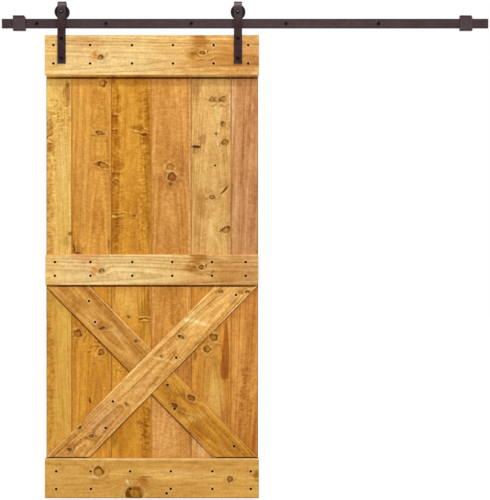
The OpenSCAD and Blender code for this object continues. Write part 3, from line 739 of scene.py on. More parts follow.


# Painted shade in the corners: a shadow band and dark lines below the rails, and along the braces' lower
# edges
X_SLOPE = 45.6
CREVICE_SHADE, SHADE = "#3a1500", "#7c4a10"
UNDER_MIDDLE_RAIL = strip(152, 286.0, 112, 1.0, CREVICE_SHADE, 0.9)
painted_shade = [
    strip(152, 80.5, 112, 4.6, SHADE, 0.42, soft=0.45),
    strip(152, 77.3, 112, 1.1, CREVICE_SHADE, 0.9),
    UNDER_MIDDLE_RAIL,
    strip(128.0, 371.6, 122, 0.7, CREVICE_SHADE, 0.75, turn=X_SLOPE),
    strip(173.9, 371.5, 122, 0.7, CREVICE_SHADE, 0.6, turn=-X_SLOPE),
]


def plank(number, stains_and_shading, **settings):
    """Gives a plank its own pine, and the painted shade that lies on every plank."""
    name = f"plank_{number}"
    low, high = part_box(name)
    stains_and_shading = [*stains_and_shading, *painted_shade]
    coat(name, pine(f"pine_{number}", middle_of(name), 0, (high.x - low.x) / 2, stains_and_shading=stains_and_shading, **settings))


plank(
    1,
    middle_tone="#ebb95f",
    pith=(-0.05, 0.05, 0),
    seed_value=3.1,
    contrast=(0.08, 0.42, 0.34, 0.34, 0.36),
    rough=0.28,
    dark_edge=0.4,
    knots=[knot(69.6, 233.6, 1.5, 1.2, "#764506", "#582e01", halo=0.3)],
    roughs=[patch(49, 180, 5, 90, 1.0), patch(60, 113, 9, 18, 0.8), patch(49, 380, 4, 80, 0.7)],
    stains_and_shading=[
        strip(57, 371, 16, 90, "#daa03e", 0.8, soft=0.15),
        stain(47.5, 190, 5, 78, "#cf8c3a", 0.55),
        stain(48, 380, 4.5, 78, "#cf8426", 0.55),
        stain(61, 170, 4, 40, "#f0c878", 0.45),
        stain(66, 92, 3.6, 10, "#b06a2a", 0.7),
        stain(67.4, 84.5, 1.8, 3, "#8a4c18", 0.7),
        stain(63.4, 84.6, 2.6, 0.9, PALE, 0.85, turn=25),
        stain(62, 99, 0.9, 5, PALE, 0.4, turn=12),
        stain(48.6, 127, 4.2, 8, "#b8702c", 0.62),
        stain(49.6, 145, 3.6, 5.5, "#b46a20", 0.66),
        *ripple(49, 132.6, 3.6, -24, 0.55),
        *ripple(49.6, 141.4, 3.4, 18, 0.5),
        stain(50.6, 137.4, 4.4, 0.9, PALE, 0.9, turn=-12),
        stain(46.8, 137.6, 1.0, 1.7, "#6a3a10", 0.8),
        stain(65.4, 241, 4, 5, "#b08a30", 0.5),
        # Painted highlight along the plank's eased edge at the joint
        strip(68.9, 190, 0.8, 58, "#ffd27c", 0.7, soft=0.5),
    ],
)
plank(
    2,
    middle_tone="#de9c41",
    pith=(0.03, 0.05, 0),
    seed_value=11.7,
    dark_edge=0.7,
    knots=[
        knot(102.2, 82.6, 3.4, 3.2, "#cf9030", "#804403", depth=0.7, lean=150, flare=0.6),
        knot(
            99.6, 132.6, 4.6, 1.7, "#9e5808", "#5a2a00", depth=0.8, turn=12, lean=-60, swirl=0.7, flare=1.2,
        ),
        knot(103, 165, 5.4, 2.3, "#b56f0a", "#6d3a00", depth=0.55, turn=26, lean=-40, swirl=0.7, flare=1.2),
        knot(
            76.8, 333.6, 4.2, 3.0, "#a05c06", "#5e2e00", depth=0.55, halo=0.3, turn=25, off=0.2, flare=1.0,
        ),
        knot(100.6, 352.8, 2.4, 3.3, "#b06a0a", "#633400", halo=0.2, turn=25, off=0.1, flare=1.0),
        knot(93.4, 363.3, 0.9, 0.9, "#502a01", "#502a01"),
    ],
    roughs=[patch(101, 150, 8, 75, 0.25), patch(98, 220, 9, 25, 0.3), patch(95, 350, 6, 10, 1.0)],
    stains_and_shading=[
        strip(90, 371, 22, 90, "#da952f", 0.75, soft=0.15),
        stain(84, 180, 7, 40, "#e6ab5a", 0.4),
        stain(79, 110, 5, 22, "#e3a650", 0.35),
        stain(103.7, 85.8, 1.5, 1.1, "#5c330c", 0.85),
        stain(97.6, 164, 1.8, 0.8, "#6a3d0c", 0.8),
        stain(95.4, 217, 8, 16, "#c0762a", 0.45),
        *ripple(94.5, 133.2, 4, -6),
        *ripple(104, 133.8, 3.2, 24),
        *ripple(96, 161.2, 5, -14, 0.6),
        *ripple(91, 165.6, 3, -35, 0.4),
        *ripple(106, 169.4, 3, 35),
        *ripple(104, 80.2, 3, 30),
        *ripple(82, 331, 2.4, -50, 0.35),
        stain(78, 249, 6, 5, "#b3722a", 0.6),
        stain(73.2, 248.5, 0.9, 5.5, "#5e3408", 0.85),
        stain(77, 252.8, 4.4, 0.8, "#5e3408", 0.7, turn=12),
        stain(83, 245, 3.2, 0.8, PALE, 0.8, turn=-35),
        stain(108.4, 246, 1.2, 7, "#8a5412", 0.6),
        stain(89.4, 401.2, 0.7, 3.0, "#54300c", 0.85, turn=-25),
    ],
)
plank(
    3,
    middle_tone="#dd9b37",
    pith=(0.0, 0.06, 0),
    seed_value=23.9,
    dark_edge=0.55,
    knots=[
        knot(133.3, 216.6, 1.5, 1.2, "#613501", "#472400", depth=0.5, halo=0.3),
        knot(113.3, 182.4, 1.3, 1.3, "#613501", "#472400", depth=0.5, halo=0.3),
        knot(127.9, 317.5, 1.6, 1.6, "#724105", "#472400", halo=0.35),
        knot(137.9, 422.5, 1.2, 1.2, "#7a4504", "#4e2800", depth=0.3, halo=0.35),
    ],
    roughs=[
        patch(115, 175, 6.5, 95, 0.7),
        patch(145, 165, 6, 95, 0.6),
        patch(146, 430, 6, 28, 1.0),
        patch(117, 370, 6, 8, 1.0),
    ],
    stains_and_shading=[
        strip(130, 371, 21, 90, "#d8922c", 0.55, soft=0.15),
        stain(126, 301, 18, 17, "#e2a84e", 0.5),
        stain(114.5, 175, 5.8, 92, "#aa6204", 0.68),
        stain(147.4, 165, 4.6, 92, "#a86404", 0.66),
        stain(136, 127.0, 6.5, 2.4, "#9c6000", 0.75),
        *ripple(138, 130.6, 9, 6, 0.6),
        *ripple(147, 128.6, 4.6, 20),
        stain(143.6, 133.8, 3.8, 1.2, "#682e00", 0.92, turn=2),
        *ripple(114.5, 113.4, 5.4, -10),
        *ripple(113, 128, 4, 8),
        *ripple(144.5, 105.6, 4, -8, 0.4),
        *ripple(115.4, 171, 5.6, 6),
        *ripple(115.4, 178.8, 5.6, 2),
        *ripple(117, 212.4, 9, 2, 0.6),
        *ripple(116, 216.2, 7, -3, 0.6),
        stain(112.7, 119, 3.0, 4.6, "#a05400", 0.6),
        stain(111.4, 113.2, 1.7, 2.0, "#8a4600", 0.65),
        stain(117.4, 98, 2.0, 4.4, "#a86008", 0.5),
        stain(119.0, 147, 1.6, 3.4, "#a86008", 0.5),
        stain(116.6, 165, 4.2, 6.6, "#a65a02", 0.5),
        stain(112.8, 174.6, 2.5, 2.8, "#944e00", 0.65),
        stain(146.6, 139.6, 3.4, 4.4, "#a05a10", 0.7),
        stain(115, 227, 5, 9, "#9a5c0e", 0.4),
        stain(144, 315, 5.4, 28, "#9e5e06", 0.7),
        stain(141, 317.6, 5, 0.9, "#7a3e00", 0.75, turn=4),
        *ripple(143, 317.0, 7, 5, 0.6),
        *ripple(145, 320.4, 5, 8, 0.5),
        stain(146.6, 430, 4.6, 26, "#a4640e", 0.6),
        stain(113.6, 440, 3.6, 8, "#9a5c0c", 0.6),
    ],
)
plank(
    4,
    middle_tone="#d18f42",
    pith=(-0.02, 0.055, 0),
    seed_value=37.3,
    rough=0.5,
    dark_edge=0.2,
    knots=[
        knot(
            172, 176.4, 3.7, 4.0, "#955026", "#6a3010", halo=0.35, depth=0.72, off=0.1, swirl=2.6, flare=1.2,
        ),
        knot(169.6, 166.8, 3.4, 3.2, "#ce8a30", "#9a5a14", depth=0.5, flare=1.3),
        knot(171, 183.8, 1.6, 1.6, "#91510b", "#633003", halo=0.25, flare=0.5),
    ],
    stains_and_shading=[
        strip(170, 300, 21, 38, "#e6a44c", 0.8, soft=0.15),
        stain(165, 425, 16, 45, "#e4a45a", 0.7),
        stain(182, 165, 8, 16, "#aa6228", 0.6),
        stain(160, 179, 9, 9, "#b8702f", 0.35),
        stain(176, 176, 14, 22, "#bc7a3c", 0.4),
        # Painted highlights along the plank's eased edges at the joints
        strip(154.4, 165, 0.9, 90, "#e6ab60", 0.4, soft=0.6),
        strip(189.4, 165, 1.0, 90, "#ecb878", 0.5, soft=0.6),
        strip(153.4, 316, 1.0, 30, "#ecb878", 0.45, soft=0.6),
        strip(153.6, 435, 0.9, 22, "#eeb46e", 0.5, soft=0.6),
    ],
)
plank(
    5,
    middle_tone="#dca962",
    pith=(0.01, 0.045, 0),
    seed_value=51.9,
    taper=0.045,
    contrast=(0.1, 0.55, 0.5, 0.55, 0.5),
    dark_edge=0.45,
    redden=0.3,
    knots=[
        knot(211.8, 98.8, 3.3, 2.5, "#ac7a34", "#6c4412", depth=0.72, lean=20, flare=0.7),
        knot(222.8, 98.8, 3.4, 2.8, "#b4853e", "#6c4412", depth=0.72, lean=20, flare=0.7),
        knot(223.1, 123.6, 2.2, 2.0, "#a8722a", "#5e3a0c", depth=0.72, lean=0, flare=0.7),
        knot(225.2, 141.8, 3.2, 2.3, "#ad7113", "#6f4105", depth=0.72, turn=-30, flare=0.6),
        knot(216.2, 133.9, 0.8, 0.8, "#613602", "#613602"),
        knot(212.0, 196.6, 2.7, 2.5, "#a86d12", "#643a03", depth=0.72, lean=180, flare=0.6),
        knot(225.4, 229.4, 4.2, 2.7, "#b57514", "#5e3402", depth=0.64, turn=-25, flare=0.5),
        knot(213.4, 337.5, 3.4, 3.4, "#b06d08", "#613600", depth=0.68, off=0.25, lean=-140, flare=1.2),
        knot(207.2, 349.3, 3.5, 3.5, "#b9750c", "#653d01", depth=0.64, off=0.25, lean=60, flare=1.2),
    ],
    stains_and_shading=[
        strip(210, 371, 22, 90, "#d68c2c", 0.85, soft=0.15),
        stain(205, 110, 10, 14, "#e6b468", 0.5),
        stain(216, 228, 8, 15, "#e3b768", 0.55),
        stain(203, 170, 8, 14, "#e0b264", 0.4),
        mark(217.6, 111, 3.6, 9, "#ecc67c", 0.55),
        mark(215.8, 113, 0.9, 10, "#f6d690", 0.5, turn=-12),
        mark(220.4, 113, 0.9, 10, "#f6d690", 0.5, turn=9),
        mark(218.4, 130, 0.8, 14, "#f4d088", 0.5, turn=3),
        mark(216.6, 134.5, 0.45, 6, "#a26c2c", 0.65, turn=-14),
        mark(219.8, 132.5, 0.45, 8, "#a26c2c", 0.65, turn=16),
        mark(216.0, 145.5, 0.45, 6, "#a26c2c", 0.65, turn=-16),
        mark(219.4, 145.5, 0.45, 6, "#a26c2c", 0.65, turn=20),
        *ripple(222.5, 103.6, 6, -4),
        *ripple(212, 102.8, 3.6, 20, 0.4),
        mark(229.6, 108, 0.7, 13, "#f6d09c", 0.85),
        crack(220.6, 99.6, 0.7, 2.8, "#50310c", 0.85, turn=48),
        crack(214.2, 99.6, 0.6, 2.4, "#5a380e", 0.8, turn=-50),
        crack(222.8, 123.2, 0.6, 2.6, "#50310c", 0.85, turn=55),
        *ripple(227, 126.4, 2.4, 40, 0.45),
        crack(224.6, 143, 0.5, 4.2, "#5a380e", 0.7, turn=58),
        mark(196.2, 146.5, 4.8, 1.6, "#3c1c02", 1.0, turn=3, soft=0.35),
        mark(215, 165.2, 1.05, 1.05, "#210c02", 1.0, soft=0.3),
        *ripple(205, 196.6, 4, -10, 0.4),
        crack(214.6, 196.6, 0.6, 3.0, "#6a4414", 0.75, turn=-35),
        crack(222.6, 229.2, 0.8, 4.6, "#4a2c08", 0.85, turn=58),
        crack(228.4, 228, 0.7, 2.6, "#5a3208", 0.8, turn=-20),
        stain(211, 212, 3, 7, "#c07c46", 0.4),
        stain(196, 89, 5, 6, "#b98550", 0.5),
        stain(202, 140, 4.4, 6, "#a46a2e", 0.65),
        stain(197, 150.4, 7, 2.4, "#b57e3e", 0.55),
        stain(222, 155, 5, 8, "#bd8646", 0.45),
        stain(222, 185, 6, 6, "#b8844a", 0.55),
        crack(224.2, 190.2, 1.1, 5.4, "#5c380c", 0.9, turn=42),
        crack(226.6, 190.4, 0.6, 4.6, PALE, 0.7, turn=42),
        crack(222.4, 189.2, 0.5, 4.6, PALE, 0.5, turn=42),
        stain(202, 206, 3.8, 14, "#b37a38", 0.6),
        stain(198, 232, 4, 14, "#bd8440", 0.4),
        stain(211.5, 384, 10, 34, "#d69c42", 0.7),
        mark(207.6, 376, 0.5, 15, "#bd8440", 0.5, turn=5),
        mark(213, 384, 0.7, 19, "#e8b462", 0.5, turn=-2),
        mark(217, 378, 0.5, 16, "#bd8440", 0.45, turn=-5),
        mark(207.4, 397.5, 0.5, 5, "#b27a34", 0.55, turn=38),
        mark(212.6, 397.5, 0.5, 5, "#b27a34", 0.55, turn=-38),
        mark(206.6, 404, 0.6, 6, "#eec27a", 0.45, turn=38),
        mark(213.2, 404, 0.6, 6, "#eec27a", 0.45, turn=-38),
        stain(217, 400, 7, 20, "#dfab56", 0.75),
        stain(194.8, 356, 1.6, 6.5, "#8e5418", 0.75),
        *ripple(209, 356, 5, -8, 0.4),
        *ripple(218, 343, 3.4, 25, 0.4),
        mark(226.0, 342, 2.3, 20, "#aa5e1c", 0.92, soft=0.2),
        mark(225.6, 356, 3.6, 20, "#aa5e1c", 0.92, soft=0.2),
        mark(224.6, 369.6, 4.3, 10.6, "#a85c1e", 0.92, soft=0.15, square=0.6),
        stain(225.6, 416, 3.6, 10, "#b06a2c", 0.55),
        stain(199, 442, 10, 18, "#eab472", 0.9),
    ],
)
plank(
    6,
    middle_tone="#ca8f59",
    pith=(0.07, 0.05, 0),
    seed_value=67.1,
    dark_edge=0.4,
    contrast=(0.08, 0.75, 0.6, 0.45, 0.55),
    stains_and_shading=[
        strip(245, 371, 15, 90, "#d58b34", 0.8, soft=0.15),
        stain(252, 440, 7, 18, "#b46a1c", 0.5),
        stain(254, 150, 4, 75, "#b8764c", 0.3),
        strip(236.6, 165, 1.0, 82, "#dfaa78", 0.4, soft=0.6),
        strip(243.6, 165, 0.7, 82, "#a8643c", 0.4, soft=0.6),
        strip(254.6, 165, 0.7, 82, "#a8643e", 0.3, soft=0.6),
        # Painted highlight along the plank's eased edge at the joint
        strip(232.6, 100, 0.7, 22, "#f0c48e", 0.6, soft=0.6),
        stain(234, 385, 2.6, 4, "#bd7224", 0.5),
        stain(249.6, 409, 3.6, 11, "#c27824", 0.5),
    ],
    roughs=[patch(246, 392, 11, 30, 0.45)],
)

# Rails. Pine boards laid across the planks and screwed to each of them. The top and middle ones were
# cut from neighbouring places in one log, so the same two knots show in both.
ACROSS = math.radians(90)
RAIL_GRAIN = dict(ring=0.012, taper=0.02, wander=0.045, contrast=(0.28, 0.42, 0.3, 0.34, 0.45), rough=0.32)
# How far the figure's left end, its right end and all of it are moved from the top to the middle rail
MOVED_PX = dict(left=0.7, right=-1.4, down=213.9)
SCREW_HEAD_R, FLUSH = 0.0044, 1e-5
# Round each screw head: a paler dish, and a dark ring of painted shade
SCREW_RINGS = ((2.3, "#ffd890", 0.25), (1.38, "#2e0a00", 0.97))


def head_places(name):
    """The middles of a screw node's heads, from the round rims that stand furthest forward."""
    rims = []
    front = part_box(name)[0].y
    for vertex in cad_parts[name].data.vertices:
        if vertex.co.y > front + FLUSH:
            continue
        rim = next((r for r in rims if (r[0] - vertex.co).length < 3 * SCREW_HEAD_R), None)
        if rim:
            rim.append(vertex.co.copy())
        else:
            rims.append([vertex.co.copy()])
    corners = [[(min(p[k] for p in rim), max(p[k] for p in rim)) for k in range(3)] for rim in rims]
    return [tuple(sum(pair) / 2 for pair in corner) for corner in corners]


def screw_marks(name):
    """The wood round each screw head of a board: a paler dish, and a dark ring of painted shade where the
    head sinks in.
    """
    marks = []
    for x, _, z in head_places(name):
        for reach_px, chip, amount in SCREW_RINGS:
            marks.append(dict(mark(0, 0, reach_px, reach_px, chip, amount, soft=0.25), Centre=(x, 0, z)))
    return marks


def rail_knots(left=0, right=0, down=0):
    return [
        knot(100.8 + left, 57.2 + down, 3.0, 2.3, "#a46c0f", "#613802", halo=0.3, depth=0.78),
        knot(202.4 + right, 53.0 + down, 2.2, 2.1, "#96601e", "#70400a", depth=0.9, off=0, flare=1.4),
        knot(207.4 + right, 51.4 + down, 0.9, 1.4, "#824d07", "#713f04", turn=30),
    ]


def rail_stains(deep, left=0, right=0, down=0):
    return [
        stain(243, 57 + down, 24, 26, "#c4823f", 0.78 * deep),
        stain(214, 58 + down, 30, 28, "#cc8c40", 0.8 * deep),
        stain(174, 58 + down, 26, 22, "#dca458", 0.55 * deep),
        stain(50, 57 + down, 12, 26, "#f2bc64", 0.5),
        stain(85 + left, 42 + down, 13, 6, "#dc9c5c", 0.6),
        stain(96 + left, 52 + down, 2.2, 5, "#e09040", 0.7, turn=20),
        stain(94.2 + left, 57.0 + down, 4.4, 3.6, "#dc7a1c", 0.85),
        stain(105.2 + left, 57.0 + down, 1.0, 0.7, "#6a4a18", 0.8),
        stain(103 + left, 61.5 + down, 2.6, 1.6, "#e3a468", 0.5),
        stain(195 + right, 52.2 + down, 8, 6, "#b87828", 0.75),
        stain(194.6 + right, 53.4 + down, 3.4, 1.8, "#8d5820", 0.6),
        stain(200 + right, 42 + down, 9, 7, "#aa681c", 0.85, turn=25),
        stain(125, 62 + down, 40, 11, "#f4d592", 0.45),
        *ripple(212 + right, 57.6 + down, 4, -25),
        *ripple(200 + right, 58.6 + down, 5, 6, 0.4),
        *ripple(106 + left, 59.4 + down, 3.4, 12, 0.4),
    ]


def rail(name, stains_and_shading, **settings):
    """Gives a rail its own pine, and the rings round its screws."""
    low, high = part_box(name)
    grown = {**RAIL_GRAIN, **settings, "stains_and_shading": [*stains_and_shading, *screw_marks(f"{name}_screws")]}
    coat(name, pine(f"pine_{name}", middle_of(name), ACROSS, (high.z - low.z) / 2, **grown))


rail(
    "top_rail",
    middle_tone="#ecc480",
    pith=(0.03, 0.05, 0),
    seed_value=5.3,
    pale_edges=(0, 0.85),
    knots=rail_knots(),
    stains_and_shading=rail_stains(deep=1.0),
)
rail(
    "middle_rail",
    middle_tone="#ecc480",
    pith=(0.03, 0.05, 0),
    seed_value=5.9,
    pale_edges=(0.6, 0.85),
    knots=rail_knots(**MOVED_PX),
    stains_and_shading=rail_stains(deep=0.75, **MOVED_PX),
)
rail(
    "bottom_rail",
    middle_tone="#dea650",
    pith=(-0.02, 0.05, 0),
    seed_value=81.7,
    contrast=(0.08, 0.45, 0.4, 0.4, 0.4),
    pale_edges=(0.85, 0.15),
    knots=[
        knot(98.4, 471.2, 4.6, 4.2, "#ce901c", "#6a3e02", halo=0.2, off=0.45, lean=-90, flare=1.2),
        knot(
            134.2, 494.2, 7.6, 7.4, "#a46a04", "#6e4000", halo=0.25, depth=0.75, off=0.5, lean=60, flare=1.2,
        ),
        knot(230.4, 479.4, 2.6, 2.6, "#a46409", "#683500", off=0.2, depth=0.85, flare=1.2),
    ],
    stains_and_shading=[
        stain(141.6, 485, 6.4, 7, "#b46414", 0.75, turn=35),
        stain(93.5, 477, 5, 1.3, "#ffe6a8", 0.95),
        stain(98.5, 474.4, 2.4, 1.1, "#ffe6a8", 0.8),
        stain(127.4, 482, 1.3, 3.4, "#ffe6a8", 0.9, turn=-30),
        *ripple(76, 476.4, 5, -8, 0.35),
        *ripple(147, 475.4, 6, -4, 0.45),
        *ripple(199, 477.4, 7, 6, 0.35),
        streak(116, 474.0, 14, 0.5, "#f6d48c", 0.6, turn=3),
        streak(160, 474.6, 20, 0.5, "#f6d48c", 0.6, turn=-2),
        streak(184, 473.0, 16, 0.45, "#f6d48c", 0.6, turn=4),
        streak(205, 479.4, 18, 0.45, "#f0c87c", 0.55, turn=-3),
        streak(214, 475.0, 12, 0.45, "#f6d48c", 0.55, turn=6),
        streak(70, 480.6, 16, 0.45, "#f0c87c", 0.5, turn=2),
        stain(256.5, 475.6, 3.4, 4.5, "#965208", 0.75),
        # Painted highlight along the rail's upper edge, where its top catches the light
        strip(176, 459.3, 84, 0.9, "#ffe2a4", 0.55, soft=0.6),
        strip(152, 497.9, 112, 0.7, "#6a4a1c", 0.6),
        stain(196, 472, 34, 7, "#c2863c", 0.5),
        stain(68, 478, 26, 16, "#e4ae5a", 0.4),
    ],
)

# Braces. A whole diagonal and two halves butted to it, mitred to the corners of the lower panel and
# screwed from the face. Their grain runs along each board, so the streaks lie at a slant.
BRACE_W = 0.14
BRACE_GRAIN = dict(pith=(0.02, 0.05, 0), contrast=(0.2, 0.95, 0.6, 0.45, 0.65), rough=0.45)
low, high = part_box("long_brace")
panel_w, panel_h = high.x - low.x, high.z - low.z
slope = math.atan2(panel_h, panel_w) + math.asin(BRACE_W / math.hypot(panel_w, panel_h))
brace_marks = screw_marks("brace_screws")


def brace(name, stains_and_shading, **settings):
    """Gives a brace its own pine, the painted shade below the middle rail and the rings round the screws."""
    grown = {**BRACE_GRAIN, **settings, "stains_and_shading": [*stains_and_shading, UNDER_MIDDLE_RAIL, *brace_marks]}
    coat(name, pine(f"pine_{name}", middle_of("long_brace"), half=BRACE_W / 2, **grown))


brace(
    "long_brace",
    turn=math.radians(90) - slope,
    middle_tone="#e0a352",
    seed_value=91.3,
    contrast=(0.3, 1.15, 0.6, 0.45, 0.8),
    rough=0.6,
    pale_edges=(0.45, 0.4),
    knots=[
        knot(220.9, 292, 2.0, 2.0, "#91600c", "#583402", halo=0.2),
        knot(247.5, 291.8, 2.6, 1.5, "#7a4706", "#4e2800", halo=0.25),
        knot(181.2, 337.2, 2.1, 1.6, "#9e6c13", "#532e02", halo=0.2),
        knot(161.3, 356.2, 1.6, 1.6, "#8b5a0d", "#4c2a01", halo=0.2),
        knot(80, 427.7, 1.7, 1.7, "#613a04", "#3f2300", halo=0.2),
        knot(91, 436, 2.0, 2.0, "#82530a", "#4a2901", halo=0.2),
        knot(69.2, 449.8, 1.8, 1.8, "#82530a", "#4a2901", halo=0.2),
        knot(127, 404.3, 1.7, 1.7, "#a2680f", "#613604", halo=0.2, depth=0.7),
    ],
    stains_and_shading=[
        streak(191, 320.6, 13, 1.5, "#fae29a", 0.7, turn=9),
        streak(187, 319.8, 6, 1.5, "#fff0b4", 0.6, turn=12),
        streak(203, 324.6, 8, 0.9, "#f4d486", 0.5, turn=9),
        streak(160, 358.5, 15, 1.0, "#f4d486", 0.55, turn=11),
        streak(166, 361, 12, 0.8, "#f4d486", 0.4, turn=14),
        streak(134, 384, 26, 0.8, "#f4d486", 0.4, turn=-X_SLOPE),
        streak(208, 309, 26, 0.8, "#f4d486", 0.35, turn=-X_SLOPE),
        stain(60, 446, 12, 12, "#c08238", 0.35),
        stain(95, 415, 16, 16, "#cf9248", 0.3),
        stain(192, 315, 14, 9, "#e8bc6c", 0.6, turn=-X_SLOPE),
        stain(104, 420, 17, 10, "#e8b270", 0.7, turn=-X_SLOPE),
        stain(145, 383, 16, 8, "#cc8e4a", 0.4, turn=-X_SLOPE),
        stain(234, 297, 9, 4, "#b87a3a", 0.5, turn=-X_SLOPE),
        stain(243, 292, 7, 2.2, "#a0642a", 0.6, turn=-10),
        stain(183, 337, 4.4, 2.6, "#a8743a", 0.5),
        stain(92, 434, 7, 3, "#a86c28", 0.3, turn=-X_SLOPE),
        stain(72, 448, 6, 2.6, "#a06430", 0.5, turn=-X_SLOPE),
        # Painted shade where the brace meets the bottom rail
        strip(68, 457.6, 25, 0.8, CREVICE_SHADE, 0.85),
    ],
)
brace(
    "upper_brace",
    turn=math.radians(90) + slope,
    middle_tone="#cb8c3c",
    seed_value=103.1,
    pale_edges=(0.4, 0),
    knots=[
        knot(102.4, 328.2, 3.0, 1.5, "#7c4506", "#472300", halo=0.25, turn=-20),
        knot(135.5, 341.1, 1.5, 1.5, "#804b07", "#4e2901", halo=0.25),
    ],
    stains_and_shading=[
        stain(80, 305, 9, 7, "#ad6c24", 0.5),
        stain(118, 333, 9, 4, "#e4b468", 0.5, turn=40),
        stain(100, 326.4, 9, 4, "#a4662a", 0.65, turn=12),
        stain(103, 328.4, 4.4, 0.9, "#6a3400", 0.7, turn=6),
        *ripple(108, 330.6, 4, 14),
        stain(112, 323.6, 3, 1.6, "#e8bb74", 0.6, turn=35),
        stain(136, 341, 4.4, 2.6, "#99601f", 0.55, turn=30),
    ],
)
brace(
    "lower_brace",
    turn=math.radians(90) + slope,
    middle_tone="#d69434",
    seed_value=117.7,
    pale_edges=(0.12, 0),
    knots=[
        knot(191.2, 397.7, 3.8, 2.5, "#964e04", "#5e2c00", halo=0.4, turn=30),
        knot(174.4, 405.4, 2.6, 1.6, "#713c02", "#472400", halo=0.3, turn=25),
    ],
    stains_and_shading=[
        stain(173, 403, 6, 3.6, "#8a5008", 0.5, turn=35),
        stain(191, 403, 5, 3.4, "#a85c18", 0.45, turn=10),
        stain(185, 396, 6, 4, "#99591c", 0.5, turn=30),
        stain(181, 411.5, 8, 4, "#8f4c16", 0.6, turn=35),
        stain(191, 417, 6, 2.4, "#e0a850", 0.5, turn=40),
        stain(200, 430, 11, 7, "#ad6816", 0.6, turn=40),
        stain(226, 448, 14, 7, "#b87224", 0.5, turn=40),
        stain(170, 390, 12, 7, "#ba7622", 0.5, turn=40),
        streak(196, 417, 16, 3.0, "#e4b05c", 0.5, turn=-22),
        *ripple(191, 395, 3.4, 30, 0.4),
        *ripple(186, 413, 8, 20, 0.4),
        # Painted shade where the brace meets the bottom rail
        strip(229, 457.6, 36, 0.8, CREVICE_SHADE, 0.85),
    ],
)

# Wood screws in the rails and braces. Countersunk heads with a cross recess and a coarse thread, black
# oxide like the bolts, driven just under the face. Two rows pin each rail to every plank.
SCREW_SHANK_R, SCREW_CORE_R = 0.0021, 0.0015
SCREW_L, SCREW_POINT, SCREW_PITCH, SCREW_TURNS = 0.03, 0.005, 0.0021, 8
RECESS_L, RECESS_W, RECESS_DEPTH, RECESS_TAPER = 0.0052, 0.0013, 0.0024, 0.45
cone_h = SCREW_HEAD_R - SCREW_SHANK_R
screw = [
    (SCREW_HEAD_R, 0),
    (SCREW_SHANK_R, -cone_h),
    (SCREW_SHANK_R, -2 * cone_h),
    (SCREW_CORE_R, -2 * cone_h - SCREW_SHANK_R + SCREW_CORE_R),
    (SCREW_CORE_R, SCREW_POINT - SCREW_L),
    (POINT_SHARE * SCREW_CORE_R, -SCREW_L),
]
screw = turned_body(screw, sides=24)
carve(screw, thread(SCREW_CORE_R, SCREW_SHANK_R, SCREW_PITCH, -3 * cone_h, SCREW_TURNS, steps=12), "UNION")
for turn in (0, 90):
    blade = begin(
        bpy.ops.mesh.primitive_cube_add,
        size=1,
        stretch=(RECESS_L, RECESS_W, 2 * RECESS_DEPTH),
        rotation=(0, 0, math.radians(turn)),
    )
    bpy.ops.object.mode_set(mode="EDIT")
    bpy.ops.mesh.select_mode(type="VERT")
    bpy.ops.object.mode_set(mode="OBJECT")
    for vertex in blade.data.vertices:
        vertex.select = vertex.co.z < 0
    bpy.ops.object.mode_set(mode="EDIT")
    bpy.ops.transform.resize(value=(RECESS_TAPER, RECESS_TAPER, 1), center_override=(0, 0, 0))
    bpy.ops.object.mode_set(mode="OBJECT")
    carve(screw, blade, "DIFFERENCE")
SCREW_OXIDE = dict(OXIDE, body="#200700", pale="#300e02", rough=0.5, sheen=0.0)
finish_model(screw, coated_steel("screw_black", **SCREW_OXIDE))
for name in ("top_rail", "middle_rail", "bottom_rail", "brace"):
    copies = [facing_front(screw, place) for place in head_places(f"{name}_screws")]
    for made in copies:
        made.select_set(True)
    bpy.ops.object.join()
    stand_for(bpy.context.object, f"{name}_wood_screws", f"{name}_screws", "door")
bpy.data.objects.remove(screw)

# Studio. A pale floor just under the door, a white surround, a soft lamp high on the right that
# draws the shadow under the top rail, and a broad even one in front.
FLOOR_SIZE, FLOOR_GAP = 24, 0.012


def seen_rays(tree):
    """One for the rays that show the studio itself, straight or through metal and glass."""
    rays = add_node(tree, "LightPath").outputs
    seen = maths("MAXIMUM", rays["Is Camera Ray"], rays["Is Glossy Ray"])
    return maths("MAXIMUM", seen, rays["Is Transmission Ray"])


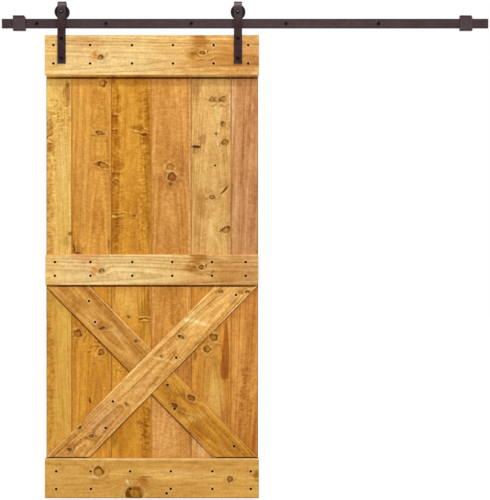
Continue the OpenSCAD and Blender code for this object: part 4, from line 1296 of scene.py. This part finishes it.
floor = begin(bpy.ops.mesh.primitive_plane_add, size=FLOOR_SIZE, location=(0, 0, cad_box[0].z - FLOOR_GAP))
floor.name = "studio_floor"
floor_paint, tree, shader = blank_material("studio_floor")
seen = seen_rays(tree)
feed(
    shader,
    {
        "Base Color": blend(seen, colour("#b9b6b0"), colour("#fbfbfb")),
        "Roughness": 0.9,
        "Specular IOR Level": 0.0,
        "Emission Color": (1, 1, 1, 1),
        "Emission Strength": product(seen, 0.62),
    },
)
floor.data.materials.append(floor_paint)

world = bpy.data.worlds.new("studio")
bpy.context.scene.world = world
world.use_nodes = True
surround = world.node_tree.nodes["Background"]
strength = ease(seen_rays(world.node_tree), 0, 1, 0.5, 1.0)
feed(surround, {"Color": (1, 1, 1, 1), "Strength": strength})


def lamp(name, place, aim, size, power):
    light = bpy.data.lights.new(name, "AREA")
    light.size = size
    light.energy = power
    made = bpy.data.objects.new(name, light)
    bpy.context.scene.collection.objects.link(made)
    made.location = place
    made.rotation_euler = (aim - made.location).to_track_quat("-Z", "Y").to_euler()


door_middle = (first_low + last_high) / 2
lamp("key_lamp", (0.6, -1.15, 1.5), door_middle, size=0.6, power=24)
lamp("front_lamp", (-0.4, -4.2, -1.4), door_middle, size=1.9, power=74)

# Camera. Straight on from the front with a long lens, level with the middle of the photograph, and so
# far away that a pixel on the door's face is as large as in the photograph.
PHOTO_HEIGHT_PX = 500
MIDDLE_X_PX, MIDDLE_Y_PX = 245, 250
LENS, SENSOR = 70, 36
view = bpy.data.cameras.new("camera")
view.sensor_fit = "AUTO"
view.sensor_width = view.sensor_height = SENSOR
view.lens = LENS
camera = bpy.data.objects.new("camera", view)
bpy.context.scene.collection.objects.link(camera)
door_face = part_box("top_rail")[0].y
away = LENS / SENSOR * PHOTO_HEIGHT_PX * px_z
aim_x, _, aim_z = spot(MIDDLE_X_PX, MIDDLE_Y_PX)
camera.location = (aim_x, door_face - away, aim_z)
camera.rotation_euler = (math.radians(90), 0, 0)
bpy.context.scene.camera = camera
bpy.context.scene.view_settings.view_transform = "Standard"
